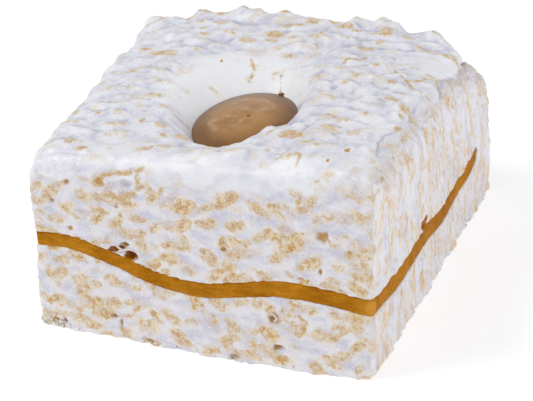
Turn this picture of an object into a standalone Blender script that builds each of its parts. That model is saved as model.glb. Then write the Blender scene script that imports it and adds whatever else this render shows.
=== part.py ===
"""A square puffed rice treat, cut by hand, with a caramel layer and a caramel pool.

Two slabs of puffed rice and marshmallow hold a wavy caramel layer between them. The top is
draped marshmallow that rolls over its edges, with a dimple that holds a pool of caramel.
Metres, +Z up, the front towards -Y, the origin under the middle of the block.
"""
import math
import random

import bmesh
import bpy
import numpy as np
from mathutils import Vector, noise

MM = 0.001

# The plain block: every height and place below is given on it, and uneven() then gives it its real shape
WIDTH = 76 * MM
DEPTH = 76 * MM
HEIGHT = 40 * MM

# Where the eight corners of the plain block go, as the knife and the pan left them
CORNERS = {
    "front_left_low": (-38.3 * MM, -38.0 * MM, 0.0),
    "front_right_low": (35.9 * MM, -41.2 * MM, 0.0),
    "back_left_low": (-39.5 * MM, 38.5 * MM, 0.0),
    "back_right_low": (40.2 * MM, 40.0 * MM, 0.0),
    "front_left_high": (-36.0 * MM, -36.4 * MM, 38.6 * MM),
    "front_right_high": (37.0 * MM, -36.4 * MM, 43.2 * MM),
    "back_left_high": (-41.5 * MM, 36.3 * MM, 39.4 * MM),
    "back_right_high": (39.3 * MM, 37.0 * MM, 37.4 * MM),
}
BACK_BOW = 4.0 * MM         # how far the back side bows out in its middle
BACK_RISE = 1.2 * MM        # and its top edge rises there
FRONT_BOW = 0.9 * MM        # and the foot of the front side

SIDE_CORNER = 2.2 * MM      # rounding of the upright edges
TOP_ROLL = 5.0 * MM         # how far the top rolls over its edges
SWELL = 0.7 * MM            # slow unevenness of the top
SWELL_LENGTH = 13 * MM
SIDE_SWELL = 0.5 * MM       # and of the cut sides
GAP = 0.35 * MM             # between neighbouring pieces

# Caramel layer: heights of its middle along the block's four sides, from left to right and front to back
LAYER_THICKNESS = 3.0 * MM
LAYER_FRONT = (21.0, 20.9, 18.4, 15.5, 14.2, 15.3, 16.5, 15.8, 14.6)
LAYER_BACK = (15.0, 14.2, 15.2, 16.0, 15.4, 23.0)
LAYER_LEFT = (21.0, 19.4, 16.8, 15.6, 16.0, 15.0)
LAYER_RIGHT = (14.6, 13.2, 13.5, 12.2, 15.5, 23.0)
LAYER_SHORT = 12.0 * MM     # how far from the back right corner the layer stops
LAYER_END_SHARE = 0.8       # its thickness there, as a share of the rest
BED_REACH = 2.8 * MM        # how far past the layer's end its bed in the slabs is closed
BED_CLOSING = 1.6 * MM      # and the length over which it closes

# Dimple and pool, placed on the real block
POOL_CENTRE = (-1.2 * MM, -5.3 * MM)
POOL_RADII = (10.5 * MM, 14.2 * MM)
POOL_LEVEL = 35.0 * MM      # at its edge
POOL_DEPTH = 3.0 * MM
POOL_CROWN = 2.2 * MM
RIM_CENTRE = (-3.0 * MM, -1.0 * MM)
RIM_RADII = (17.0 * MM, 22.0 * MM)

# Places where the top sags: the dimple's low front rim, and the shoulder at the back right corner
SAGS = (
    ((-4.0 * MM, -20.0 * MM), 13.0 * MM, 3.0 * MM),
    ((40.0 * MM, 39.0 * MM), 13.0 * MM, 5.5 * MM),
)

# Puffed rice that shows as relief
GRAIN_LENGTH = 7.0 * MM
GRAIN_WIDTH = 4.0 * MM
GRAIN_SPACING = 5.6 * MM
TOP_RELIEF = 1.4 * MM
SIDE_RELIEF = 0.6 * MM
RELIEF_SHARPNESS = 0.7      # below 1 the grains are steeper at their edges
SMOOTH_SLOPE = 3            # how quickly the relief fades down the dimple's slopes
SEED = 7

# Lobe of marshmallow that hangs over the right side, near the front
LOBE_PLACE = (38.0 * MM, -29.0 * MM, 39.0 * MM)
LOBE_REACH = (5.0 * MM, 6.5 * MM, 5.0 * MM)
LOBE_RISE = 1.6 * MM

# Pits in the cut sides: side, share along it, height, and the pit's length, height and depth
PITS = (
    ("front", 0.275, 20.6 * MM, 7.0 * MM, 2.6 * MM, 3.0 * MM),
    ("front", 0.285, 35.2 * MM, 9.0 * MM, 4.8 * MM, 1.6 * MM),
    ("front", 0.26, 3.6 * MM, 3.2 * MM, 2.8 * MM, 1.6 * MM),
    ("right", 0.42, 16.6 * MM, 2.2 * MM, 3.4 * MM, 2.4 * MM),
)

# Mesh fineness
ON_FACE = 0.001             # a vertex this close to a face of its unit cube lies on it
CELL = 1.25 * MM            # before the meshes are thinned
LAYER_CELL = 2.0 * MM
TOP_HEIGHT = 20 * MM        # rough heights of the two slabs, for their cells
BASE_HEIGHT = 16 * MM
THINNING = {"rice_top": 0.31, "rice_base": 0.20, "caramel_layer": 0.20}
SHARP_ANGLE = math.radians(50)
TINY = 1e-9                 # keeps a division by a length from failing

COLLECTION = "puffed_rice_treat"
MARSHMALLOW = {"colour": (0.83, 0.81, 0.78), "roughness": 0.55}
CARAMEL = {"colour": (0.42, 0.17, 0.02), "roughness": 0.4}
POOL_CARAMEL = {"colour": (0.37, 0.20, 0.09), "roughness": 0.3}


def clear_scene():
    for obj in list(bpy.data.objects):
        bpy.data.objects.remove(obj, do_unlink=True)


def make_material(name, finish):
    material = bpy.data.materials.new(name)
    material.use_nodes = True
    shader = material.node_tree.nodes["Principled BSDF"]
    shader.inputs["Base Color"].default_value = (*finish["colour"], 1.0)
    shader.inputs["Roughness"].default_value = finish["roughness"]
    shader.inputs["Metallic"].default_value = 0.0
    return material


def smooth_step(t):
    t = np.clip(t, 0.0, 1.0)
    return t * t * (3 - 2 * t)


def curve_through(heights_mm, t):
    """A smooth curve through evenly spaced heights, at the shares t of its length."""
    heights = np.array(heights_mm) * MM
    padded = np.concatenate(([heights[0]], heights, [heights[-1]]))
    along = np.clip(t, 0.0, 1.0) * (len(heights) - 1)
    span = np.minimum(along.astype(int), len(heights) - 2)
    s = along - span
    before, start, end, after = (padded[span + k] for k in range(4))
    leave, arrive = (end - before) / 2, (after - start) / 2
    return (start * (2 * s**3 - 3 * s**2 + 1) + leave * (s**3 - 2 * s**2 + s)
            + end * (3 * s**2 - 2 * s**3) + arrive * (s**3 - s**2))


def layer_middle(x, y):
    """Height of the caramel layer's middle: a surface stretched between its four side curves."""
    u = x / WIDTH + 0.5
    v = y / DEPTH + 0.5
    front, back = curve_through(LAYER_FRONT, u), curve_through(LAYER_BACK, u)
    left, right = curve_through(LAYER_LEFT, v), curve_through(LAYER_RIGHT, v)
    corners = ((1 - u) * (1 - v) * LAYER_FRONT[0] + u * (1 - v) * LAYER_FRONT[-1]
               + (1 - u) * v * LAYER_BACK[0] + u * v * LAYER_BACK[-1]) * MM
    return (1 - v) * front + v * back + (1 - u) * left + u * right - corners


def past_layer_end(x, y):
    """Distance from the round end that the layer has at the back right corner, positive on the caramel."""
    return np.hypot(x - WIDTH / 2, y - DEPTH / 2) - LAYER_SHORT


def bed_offset(x, y):
    """How far each slab's inner face stays from the layer's middle: they close up past its end."""
    closed = GAP / 2
    opened = LAYER_THICKNESS / 2 + GAP
    return closed + (opened - closed) * smooth_step((past_layer_end(x, y) + BED_REACH) / BED_CLOSING)


def uneven(points):
    """Move points of the plain block to their places in the hand-cut block."""
    u = points[:, 0] / WIDTH + 0.5
    v = points[:, 1] / DEPTH + 0.5
    w = points[:, 2] / HEIGHT
    placed = np.zeros_like(points)
    bow = 4 * u * (1 - u)
    placed[:, 1] = bow * (BACK_BOW * v - FRONT_BOW * (1 - v) * (1 - w))
    placed[:, 2] = bow * BACK_RISE * v * w
    for level, share_up in (("low", 1 - w), ("high", w)):
        for row, share_back in (("front", 1 - v), ("back", v)):
            for column, share_right in (("left", 1 - u), ("right", u)):
                corner = np.array(CORNERS[f"{row}_{column}_{level}"])
                placed += (share_up * share_back * share_right)[:, None] * corner
    return placed


def cube_of_cells(cells):
    """A cube from -1 to 1 whose faces are cut into a grid."""
    bm = bmesh.new()
    bmesh.ops.create_cube(bm, size=2.0)
    for axis, count in enumerate(cells):
        along = [e for e in bm.edges if abs(e.verts[0].co[axis] - e.verts[1].co[axis]) > ON_FACE]
        bmesh.ops.subdivide_edges(bm, edges=along, cuts=count - 1, use_grid_fill=True)
    return bm


def round_plan(x, y, radius):
    """Round the upright corners of the plan, keeping what is inside it inside."""
    over_x = np.maximum(np.abs(x) - (WIDTH / 2 - radius), 0.0)
    over_y = np.maximum(np.abs(y) - (DEPTH / 2 - radius), 0.0)
    away = np.hypot(over_x, over_y)
    pull = np.where(away > 0, 1 - np.maximum(over_x, over_y) / np.where(away > 0, away, 1.0), 0.0)
    return x - np.sign(x) * over_x * pull, y - np.sign(y) * over_y * pull


def side_direction(x, y):
    """The way out of the nearest side, level, for points of the plan."""
    reach_x = np.sign(x) * np.maximum(np.abs(x) - (WIDTH / 2 - TOP_ROLL), 0.0)
    reach_y = np.sign(y) * np.maximum(np.abs(y) - (DEPTH / 2 - TOP_ROLL), 0.0)
    reach = np.stack([reach_x, reach_y, np.zeros_like(x)], axis=1)
    length = np.linalg.norm(reach, axis=1, keepdims=True)
    return reach / np.where(length > 0, length, 1.0)


def roll_over(x, y, z, top):
    """Roll the top's rim over the sides, and give the way out of the surface there."""
    inside = np.minimum(WIDTH / 2 - np.abs(x), DEPTH / 2 - np.abs(y))
    from_side = np.clip(TOP_ROLL - inside, 0.0, TOP_ROLL)
    from_top = np.clip(TOP_ROLL - (top - z), 0.0, TOP_ROLL)
    away = np.hypot(from_side, from_top)
    shrink = np.where(away > 0, np.maximum(from_side, from_top) / np.where(away > 0, away, 1.0), 1.0)
    outward = side_direction(x, y)
    moved = outward * (from_side * (shrink - 1))[:, None]
    moved[:, 2] = from_top * (shrink - 1)
    facing = outward * from_side[:, None]
    facing[:, 2] = from_top
    length = np.linalg.norm(facing, axis=1, keepdims=True)
    facing = np.where(length > 0, facing / np.where(length > 0, length, 1.0), outward)
    return moved, facing


def scatter_grains():
    """Places and directions of puffed rice on the top and the four sides of the plain block."""
    draw = random.Random(SEED)
    half_x, half_y = WIDTH / 2, DEPTH / 2
    right, back, up = Vector((1, 0, 0)), Vector((0, 1, 0)), Vector((0, 0, 1))
    faces = [
        (Vector((-half_x, -half_y, HEIGHT)), right, back, WIDTH, DEPTH, TOP_RELIEF),
        (Vector((-half_x, -half_y, 0)), right, up, WIDTH, HEIGHT, SIDE_RELIEF),
        (Vector((-half_x, half_y, 0)), right, up, WIDTH, HEIGHT, SIDE_RELIEF),
        (Vector((-half_x, -half_y, 0)), back, up, DEPTH, HEIGHT, SIDE_RELIEF),
        (Vector((half_x, -half_y, 0)), back, up, DEPTH, HEIGHT, SIDE_RELIEF),
    ]
    grains = []
    for corner, along, across, length, width, relief in faces:
        columns = round(length / GRAIN_SPACING)
        rows = round(width / GRAIN_SPACING)
        for column in range(columns):
            for row in range(rows):
                share_along = (column + 0.5 + draw.uniform(-0.4, 0.4)) / columns
                share_across = (row + 0.5 + draw.uniform(-0.4, 0.4)) / rows
                angle = draw.uniform(0, math.pi)
                place = corner + along * length * share_along + across * width * share_across
                heading = along * math.cos(angle) + across * math.sin(angle)
                grains.append((*place, *heading, relief * draw.uniform(0.45, 1.15)))
    return np.array(grains)


def grain_relief(points, grains):
    """Height of the puffed rice over the surface at each point."""
    relief = np.zeros(len(points))
    for grain in grains:
        offset = points - grain[:3]
        along = offset @ grain[3:6]
        across = np.maximum((offset ** 2).sum(axis=1) - along ** 2, 0.0)
        inside = 1 - (along / (GRAIN_LENGTH / 2)) ** 2 - across / (GRAIN_WIDTH / 2) ** 2
        relief = np.maximum(relief, grain[6] * np.clip(inside, 0.0, 1.0) ** RELIEF_SHARPNESS)
    return relief


def swell(points, size, length):
    """Slow unevenness, from smooth noise in space."""
    return size * np.array([noise.noise(Vector(point / length)) for point in points])


def oval_radius(x, y, centre, radii):
    return np.hypot((x - centre[0]) / radii[0], (y - centre[1]) / radii[1])


def press_dimple(points, on_top):
    """Sink the top into the dimple: a bed for the pool, and slopes that rise from it to the rim.

    Gives the points that move, and how far up its slope each point lies, from 0 at the pool to 1 at the rim.
    """
    x, y, z = points.T
    from_pool = oval_radius(x, y, POOL_CENTRE, POOL_RADII)
    from_rim = oval_radius(x, y, RIM_CENTRE, RIM_RADII)
    bed = POOL_LEVEL - GAP - POOL_DEPTH * (1 - np.minimum(from_pool, 1.0) ** 2)
    outside = np.maximum(from_pool - 1, 0.0)
    to_rim = np.maximum(1 - from_rim, 0.0) * RIM_RADII[0] / POOL_RADII[0]
    climb = np.sin(math.pi / 2 * outside / np.maximum(outside + to_rim, TINY))
    slope = (POOL_LEVEL - GAP) + (z - (POOL_LEVEL - GAP)) * climb
    in_dimple = on_top & (from_rim < 1)
    points[:, 2] = np.where(in_dimple, np.where(from_pool < 1, bed, slope), z)
    return in_dimple, np.where(from_pool < 1, 0.0, np.clip(climb, 0.0, 1.0))


def sag(points, share):
    """Lower the slab round each sagging place, fully at its top and less further down."""
    for (x, y), reach, drop in SAGS:
        away = np.hypot(points[:, 0] - x, points[:, 1] - y)
        points[:, 2] -= drop * share * (1 - smooth_step(away / reach))


def lobe_push(points):
    """Push the top's rim outwards where the lobe of marshmallow hangs over the right side."""
    share = 1 - (((points - np.array(LOBE_PLACE)) / np.array(LOBE_REACH)) ** 2).sum(axis=1)
    points[:, 0] += LOBE_RISE * np.clip(share, 0.0, 1.0)


def mesh_object(name, bm, collection, material):
    mesh = bpy.data.meshes.new(name)
    bm.to_mesh(mesh)
    bm.free()
    mesh.materials.append(material)
    mesh.shade_smooth()
    mesh.set_sharp_from_angle(angle=SHARP_ANGLE)
    obj = bpy.data.objects.new(name, mesh)
    collection.objects.link(obj)
    return obj


def place_vertices(bm, points):
    for vertex, point in zip(bm.verts, points):
        vertex.co = point


def grid_places(bm):
    bm.verts.ensure_lookup_table()
    return np.array([vertex.co[:] for vertex in bm.verts])


def thin_out(obj):
    decimate = obj.modifiers.new("thin_out", "DECIMATE")
    decimate.ratio = THINNING[obj.name]


def cells_for(height):
    return round(WIDTH / CELL), round(DEPTH / CELL), round(height / CELL)


def rice_top(collection, material, grains):
    """The upper slab, from the caramel layer to the rolled top, with the dimple."""
    bm = cube_of_cells(cells_for(TOP_HEIGHT))
    grid = grid_places(bm)
    x, y = grid[:, 0] * WIDTH / 2, grid[:, 1] * DEPTH / 2
    x, y = round_plan(x, y, SIDE_CORNER)
    share = (grid[:, 2] + 1) / 2
    low = layer_middle(x, y) + bed_offset(x, y)
    z = low + (HEIGHT - low) * share
    rolled, facing = roll_over(x, y, z, HEIGHT)
    plain = np.stack([x, y, z], axis=1)
    on_inner_face = (share < ON_FACE) & (np.abs(grid[:, :2]).max(axis=1) < 1 - ON_FACE)
    relief = grain_relief(plain, grains) + swell(plain, SIDE_SWELL, SWELL_LENGTH)
    points = uneven(plain + rolled)
    points[:, 2] += swell(points, SWELL, SWELL_LENGTH) * np.clip(facing[:, 2], 0, 1)
    sag(points, share ** 2)
    in_dimple, climb = press_dimple(points, share > 1 - ON_FACE)
    relief = np.where(in_dimple, relief * climb ** SMOOTH_SLOPE, relief)
    relief = np.where(on_inner_face, 0.0, relief)
    points += facing * relief[:, None]
    lobe_push(points)
    place_vertices(bm, points)
    top = mesh_object("rice_top", bm, collection, material)
    thin_out(top)
    return top


def rice_base(collection, material, grains):
    """The lower slab, flat underneath, up to the caramel layer."""
    bm = cube_of_cells(cells_for(BASE_HEIGHT))
    grid = grid_places(bm)
    x, y = grid[:, 0] * WIDTH / 2, grid[:, 1] * DEPTH / 2
    x, y = round_plan(x, y, SIDE_CORNER)
    high = layer_middle(x, y) - bed_offset(x, y)
    plain = np.stack([x, y, high * (grid[:, 2] + 1) / 2], axis=1)
    on_side = np.abs(grid[:, :2]).max(axis=1) > 1 - ON_FACE
    relief = grain_relief(plain, grains) + swell(plain, SIDE_SWELL, SWELL_LENGTH)
    points = uneven(plain)
    points += side_direction(x, y) * np.where(on_side, relief, 0.0)[:, None]
    place_vertices(bm, points)
    base = mesh_object("rice_base", bm, collection, material)
    thin_out(base)
    return base


def caramel_layer(collection, material, cutters):
    """The wavy layer, flush with the cut sides, which stops short of the back right corner."""
    cells = round(WIDTH / LAYER_CELL), round(DEPTH / LAYER_CELL), 2
    bm = cube_of_cells(cells)
    grid = grid_places(bm)
    x, y = grid[:, 0] * WIDTH / 2, grid[:, 1] * DEPTH / 2
    x, y = round_plan(x, y, SIDE_CORNER)
    taper = LAYER_END_SHARE + (1 - LAYER_END_SHARE) * smooth_step(past_layer_end(x, y) / LAYER_THICKNESS)
    z = layer_middle(x, y) + grid[:, 2] * taper * LAYER_THICKNESS / 2
    plain = np.stack([x, y, z], axis=1)
    points = uneven(plain)
    on_side = np.abs(grid[:, :2]).max(axis=1) > 1 - ON_FACE
    unevenness = np.where(on_side, swell(plain, SIDE_SWELL, SWELL_LENGTH), 0.0)
    points += side_direction(x, y) * unevenness[:, None]
    place_vertices(bm, points)
    layer = mesh_object("caramel_layer", bm, collection, material)
    corner = uneven(np.array([[WIDTH / 2, DEPTH / 2, BASE_HEIGHT]]))[0]
    cylinder = bmesh.new()
    bmesh.ops.create_cone(cylinder, cap_ends=True, segments=32, radius1=LAYER_SHORT, radius2=LAYER_SHORT,
                          depth=HEIGHT)
    cutter = mesh_object("layer_end_cutter", cylinder, cutters, material)
    cutter.location = corner
    thin_out(layer)
    cut_with(layer, cutter)


def caramel_pool(collection, material):
    """The caramel that fills the dimple up to its level: a flat-topped lens."""
    bm = bmesh.new()
    bmesh.ops.create_uvsphere(bm, u_segments=36, v_segments=12, radius=1.0)
    grid = grid_places(bm)
    across = np.hypot(grid[:, 0], grid[:, 1])
    clear = GAP / POOL_RADII[0]
    crown = POOL_CROWN * (1 - across ** 2)
    bowl = -POOL_DEPTH * (1 - across ** 2)
    points = np.stack([
        POOL_CENTRE[0] + grid[:, 0] * POOL_RADII[0] * (1 - clear),
        POOL_CENTRE[1] + grid[:, 1] * POOL_RADII[1] * (1 - clear),
        POOL_LEVEL + np.where(grid[:, 2] > 0, crown, bowl),
    ], axis=1)
    place_vertices(bm, points)
    return mesh_object("caramel_pool", bm, collection, material)


def pit_cutter(index, pit, cutters, material):
    """An egg-shaped cutter, sunk into its side by the pit's depth."""
    side, share, height, length, rise, depth = pit
    if side == "front":
        plain = np.array([[(share - 0.5) * WIDTH, -DEPTH / 2, height]])
        size = (length, 2 * depth, rise)
    else:
        plain = np.array([[WIDTH / 2, (share - 0.5) * DEPTH, height]])
        size = (2 * depth, length, rise)
    ball = bmesh.new()
    bmesh.ops.create_icosphere(ball, subdivisions=2, radius=0.5)
    cutter = mesh_object(f"pit_cutter_{index}", ball, cutters, material)
    cutter.location = uneven(plain)[0]
    cutter.scale = size
    return cutter


def cut_with(obj, cutter):
    cutter.hide_render = True
    cutter.display_type = "WIRE"
    boolean = obj.modifiers.new(cutter.name, "BOOLEAN")
    boolean.operation = "DIFFERENCE"
    boolean.solver = "EXACT"
    boolean.object = cutter


def stand_on_origin(collection, cutters):
    """Hang everything on an empty that brings the block's box over the origin."""
    empty = bpy.data.objects.new("treat_place", None)
    collection.objects.link(empty)
    everything = [obj for obj in (*collection.objects, *cutters.objects) if obj is not empty]
    for obj in everything:
        obj.parent = empty
    bpy.context.view_layer.update()
    depsgraph = bpy.context.evaluated_depsgraph_get()
    corners = [obj.matrix_world @ Vector(corner) for obj in collection.objects if obj.type == "MESH"
               for corner in obj.evaluated_get(depsgraph).bound_box]
    low = [min(corner[axis] for corner in corners) for axis in range(3)]
    high = [max(corner[axis] for corner in corners) for axis in range(3)]
    empty.location = (-(low[0] + high[0]) / 2, -(low[1] + high[1]) / 2, -low[2])


def main():
    clear_scene()
    collection = bpy.data.collections.new(COLLECTION)
    cutters = bpy.data.collections.new(COLLECTION + "_cutters")
    for group in (collection, cutters):
        bpy.context.scene.collection.children.link(group)
    rice = make_material("marshmallow_rice", MARSHMALLOW)
    caramel = make_material("caramel", CARAMEL)
    pool_caramel = make_material("pool_caramel", POOL_CARAMEL)

    grains = scatter_grains()
    top = rice_top(collection, rice, grains)
    base = rice_base(collection, rice, grains)
    caramel_layer(collection, caramel, cutters)
    caramel_pool(collection, pool_caramel)
    for index, pit in enumerate(PITS):
        cutter = pit_cutter(index, pit, cutters, rice)
        cut_with(top if pit[2] > BASE_HEIGHT else base, cutter)
    stand_on_origin(collection, cutters)


main()
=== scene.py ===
"""Looks of a square puffed rice treat, cut by hand, with a caramel layer and a caramel pool.

The pieces are modelled on a plain square block and moved to their places in the hand-cut block last,
so that a cut side is a flat plane while grains, pits and the draped top are worked into it.
"""

import math

import bpy
import numpy as np
from mathutils import Matrix, Vector, kdtree, noise


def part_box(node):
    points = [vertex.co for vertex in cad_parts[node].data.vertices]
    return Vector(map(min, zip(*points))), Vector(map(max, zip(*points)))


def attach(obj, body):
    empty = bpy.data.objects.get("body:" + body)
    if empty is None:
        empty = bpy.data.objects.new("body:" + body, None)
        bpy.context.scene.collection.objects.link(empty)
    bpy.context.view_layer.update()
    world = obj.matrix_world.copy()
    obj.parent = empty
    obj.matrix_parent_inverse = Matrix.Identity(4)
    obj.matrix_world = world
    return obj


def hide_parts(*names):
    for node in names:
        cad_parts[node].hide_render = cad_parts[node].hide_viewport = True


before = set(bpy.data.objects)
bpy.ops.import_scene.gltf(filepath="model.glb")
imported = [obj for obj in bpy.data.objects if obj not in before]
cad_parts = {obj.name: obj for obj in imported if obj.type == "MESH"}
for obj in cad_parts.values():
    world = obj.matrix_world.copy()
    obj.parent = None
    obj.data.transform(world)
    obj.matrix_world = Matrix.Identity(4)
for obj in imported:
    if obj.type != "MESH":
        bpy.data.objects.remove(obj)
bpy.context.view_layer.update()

MM = 0.001
TINY = 1e-9

# The plain block, and where its eight corners go in the hand-cut one
WIDTH = 76 * MM
DEPTH = 76 * MM
HEIGHT = 40 * MM
CORNERS = {
    "front_left_low": (-38.3 * MM, -38.0 * MM, 0.0),
    "front_right_low": (35.9 * MM, -41.2 * MM, 0.0),
    "back_left_low": (-39.5 * MM, 38.5 * MM, 0.0),
    "back_right_low": (40.2 * MM, 40.0 * MM, 0.0),
    "front_left_high": (-36.0 * MM, -36.4 * MM, 38.6 * MM),
    "front_right_high": (37.0 * MM, -36.4 * MM, 43.2 * MM),
    "back_left_high": (-41.5 * MM, 36.3 * MM, 39.4 * MM),
    "back_right_high": (39.3 * MM, 37.0 * MM, 37.4 * MM),
}
BACK_BOW = 4.0 * MM
BACK_RISE = 1.2 * MM
FRONT_BOW = 0.9 * MM
SIDE_CORNER = 1.4 * MM
TOP_ROLL = 5.0 * MM
SWELL = 0.7 * MM
SWELL_LENGTH = 13 * MM
SIDE_SWELL = 0.5 * MM
BULGE = (                   # of the right side, near the back: middle, reach and rise
    (38.0 * MM, 34.0 * MM, 20.0 * MM), (10.0 * MM, 20.0 * MM, 18.0 * MM), 1.2 * MM,
)

# Caramel layer: heights of its middle along the block's four sides, from left to right and front to back
LAYER_THICKNESS = 3.0 * MM
LAYER_FRONT = (21.0, 20.9, 18.4, 15.5, 14.2, 15.3, 16.5, 15.8, 14.6)
LAYER_BACK = (15.0, 14.2, 15.2, 16.0, 15.4, 23.0)
LAYER_LEFT = (21.0, 19.4, 16.8, 15.6, 16.0, 15.0)
LAYER_RIGHT = (14.6, 13.2, 13.5, 12.2, 15.5, 23.0)
LAYER_SHORT = 12.0 * MM
LAYER_SWELL = 0.4 * MM       # half of what it gains towards the right side, behind the front corner
LAYER_BEDDED = 0.25 * MM    # how far it reaches into each slab
LAYER_RIPPLE = 0.12 * MM
LAYER_SUNK = 0.05 * MM      # how far its cut edge lies behind the rice's
SLAB_OVERLAP = 0.8 * MM     # of the slabs past the layer's end, where they have grown together
BED_REACH = 0.6 * MM
BED_CLOSING = 0.8 * MM

# Dimple and pool, placed on the real block
POOL_CENTRE = (-1.2 * MM, -5.3 * MM)
POOL_RADII = (10.5 * MM, 14.2 * MM)
POOL_LEVEL = 35.0 * MM
POOL_DEPTH = 3.0 * MM
POOL_CROWN = 2.2 * MM
POOL_RIPPLE = 0.25 * MM
POOL_SPREAD = 1.01          # so that its edge lies in the rice
# the pool's curls are painted highlights along folds where it was stirred
POOL_CURLS = (((-3.5, -9.5, 36.5), 2.8), ((-1.0, -0.5, 36.5), 3.4))     # middles and radii, in millimetres
POOL_SPECK = (0.2, -6.5, 37.0)
RIM_CENTRE = (-3.0 * MM, -1.0 * MM)
RIM_RADII = (17.0 * MM, 22.0 * MM)
POOL_BED_CLEARANCE = 0.35 * MM
SAGS = (                    # of the real block's top: middle, reach and drop
    ((-4.0 * MM, -20.0 * MM), 13.0 * MM, 3.0 * MM),
    ((40.0 * MM, 39.0 * MM), 13.0 * MM, 5.0 * MM),
)

# Lobe of marshmallow that hangs over the right side, near the front: middle, reach and rise
LOBE = ((38.0 * MM, -29.0 * MM, 39.0 * MM), (5.0 * MM, 6.5 * MM, 5.0 * MM), 1.6 * MM)

# One grain of puffed rice: half its length, width and thickness, and how it lies
GRAIN_RADII = (2.7 * MM, 1.4 * MM, 1.2 * MM)
GRAIN_TURN = math.radians(35)
GRAIN_LEAN = math.radians(38)
GRAIN_UNEVEN = 0.25
GRAIN_CELL = (4.4 * MM, 2.9 * MM, 2.5 * MM)
GRAIN_SHIFT = 0.42          # how far each is moved from its cell's middle at most, in shares of the cell
GRAIN_SHELL = 4.0 * MM      # rice deeper in the block than this is never seen
NEAR_GRAINS = 6
NEAR_LUMPS = 8
SEED = 7

# Grains that show through the top as toasted patches:
# place across and back, length, width, turn in degrees, and how strongly it shows
TOP_PATCHES = (
    (-33.8, 2.2, 2.0, 1.5, 0, 0.7), (-21.4, -1.8, 4.4, 1.8, -15, 0.7), (-27.4, -6.0, 3.0, 2.0, 0, 0.5),
    (-20.6, -8.5, 4.5, 2.1, -5, 0.9), (-31.4, -8.4, 3.4, 2.4, 10, 0.4), (-30.6, -14.2, 2.4, 1.4, 0, 0.6),
    (-26.4, -14.4, 3.0, 1.4, 10, 0.7), (-16.4, -13.2, 3.2, 1.8, 0, 0.9), (-29.6, -19.0, 2.4, 1.4, 25, 0.6),
    (-34.4, -23.0, 4.0, 2.0, 15, 0.6), (-13.8, -22.4, 2.8, 2.2, 0, 1.0), (-21.8, -27.0, 6.0, 3.0, 0, 0.6),
    (-12.8, -32.2, 4.4, 2.0, 22, 0.9), (-8.8, -31.4, 3.6, 1.7, 0, 1.0), (-20.0, 34.6, 5.0, 1.8, 0, 0.7),
    (-24.2, 30.0, 3.2, 2.0, 10, 0.6), (-20.4, 22.8, 2.0, 1.8, 0, 0.9), (-16.0, 24.6, 5.4, 1.4, 0, 0.7),
    (-9.8, 20.8, 3.4, 2.4, -25, 1.0), (-2.4, 30.2, 4.8, 1.7, 20, 0.9), (5.6, 23.6, 4.4, 3.2, 0, 0.6),
    (-20.0, 15.0, 3.6, 1.8, -20, 0.6), (10.4, 10.2, 4.0, 1.7, 0, 0.6), (11.4, 5.8, 4.4, 2.4, -5, 0.7),
    (16.0, 22.6, 3.4, 2.2, 0, 1.0), (18.4, 26.2, 4.0, 1.7, 5, 0.7), (15.8, 14.2, 4.4, 1.2, 22, 0.8),
    (14.8, 8.4, 2.2, 2.0, 0, 0.6), (19.0, 6.2, 2.4, 2.4, 0, 0.7), (23.0, 6.8, 2.6, 1.8, 0, 0.6),
    (27.4, 5.0, 3.2, 1.4, -10, 0.7), (33.4, 11.8, 2.8, 3.4, 0, 0.8), (21.8, -19.8, 4.2, 2.8, 0, 1.0),
    (24.2, -16.2, 3.4, 2.0, 0, 0.7), (27.4, -11.8, 3.8, 2.0, -10, 0.6), (8.8, -1.4, 3.2, 2.0, -10, 1.0),
    (16.2, -24.4, 5.4, 2.6, 0, 0.9), (10.8, -23.0, 3.6, 2.4, 0, 0.5), (23.8, -29.0, 4.2, 2.2, 10, 0.6),
    (18.6, -33.0, 5.0, 2.2, 0, 0.7), (33.4, -5.6, 1.8, 3.4, 0, 1.0), (34.0, -9.6, 1.0, 1.8, 0, 0.8),
    (33.6, -27.4, 1.0, 2.0, 0, 0.8), (35.4, 3.8, 1.4, 1.6, 0, 0.7), (5.8, 34.0, 2.4, 1.4, 0, 1.0),
    (8.8, 31.8, 3.6, 1.8, 0, 0.9), (12.2, 30.0, 2.4, 1.6, 0, 1.0), (15.2, 30.2, 3.4, 2.0, 0, 0.7),
    (18.6, 31.0, 3.2, 2.8, 0, 1.0), (5.2, 26.8, 2.2, 1.6, 0, 0.8), (-26.6, 13.0, 5.6, 2.4, 0, 1.0),
    (-0.2, 11.0, 2.6, 2.4, 0, 1.0), (-18.6, 4.6, 4.0, 3.4, 0, 0.7), (-24.5, 35.6, 4.0, 1.4, 0, 0.8),
    (-15.0, 36.2, 5.4, 1.4, 0, 0.8), (-5.5, 36.0, 3.2, 1.4, 0, 0.7), (17.4, 35.8, 4.0, 1.4, 0, 0.6),
    (28.4, 35.0, 1.8, 1.6, 0, 0.8), (31.6, 34.6, 1.8, 1.8, 0, 0.9),
)
LUMP_MARGIN = (3.2 * MM, 2.2 * MM)      # how far a lump's front reaches past its patch, along and across
LUMP_BACK = 0.6            # reach of its steeper back slope, as a share of its front slope's
LUMP_HEIGHT = (0.3 * MM, 1.35 * MM)
LUMP_BLEND = 0.12 * MM      # over which neighbouring lumps run into each other
LUMP_SPACING = (4.8 * MM, 3.1 * MM)
LUMP_TRIES = 4000
LUMP_TURN = 30
PATCH_LENGTH = (1.6, 5.0)       # in millimetres, of the patches that aren't in the list above
PATCH_WIDTH = (1.0, 2.4)

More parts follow.
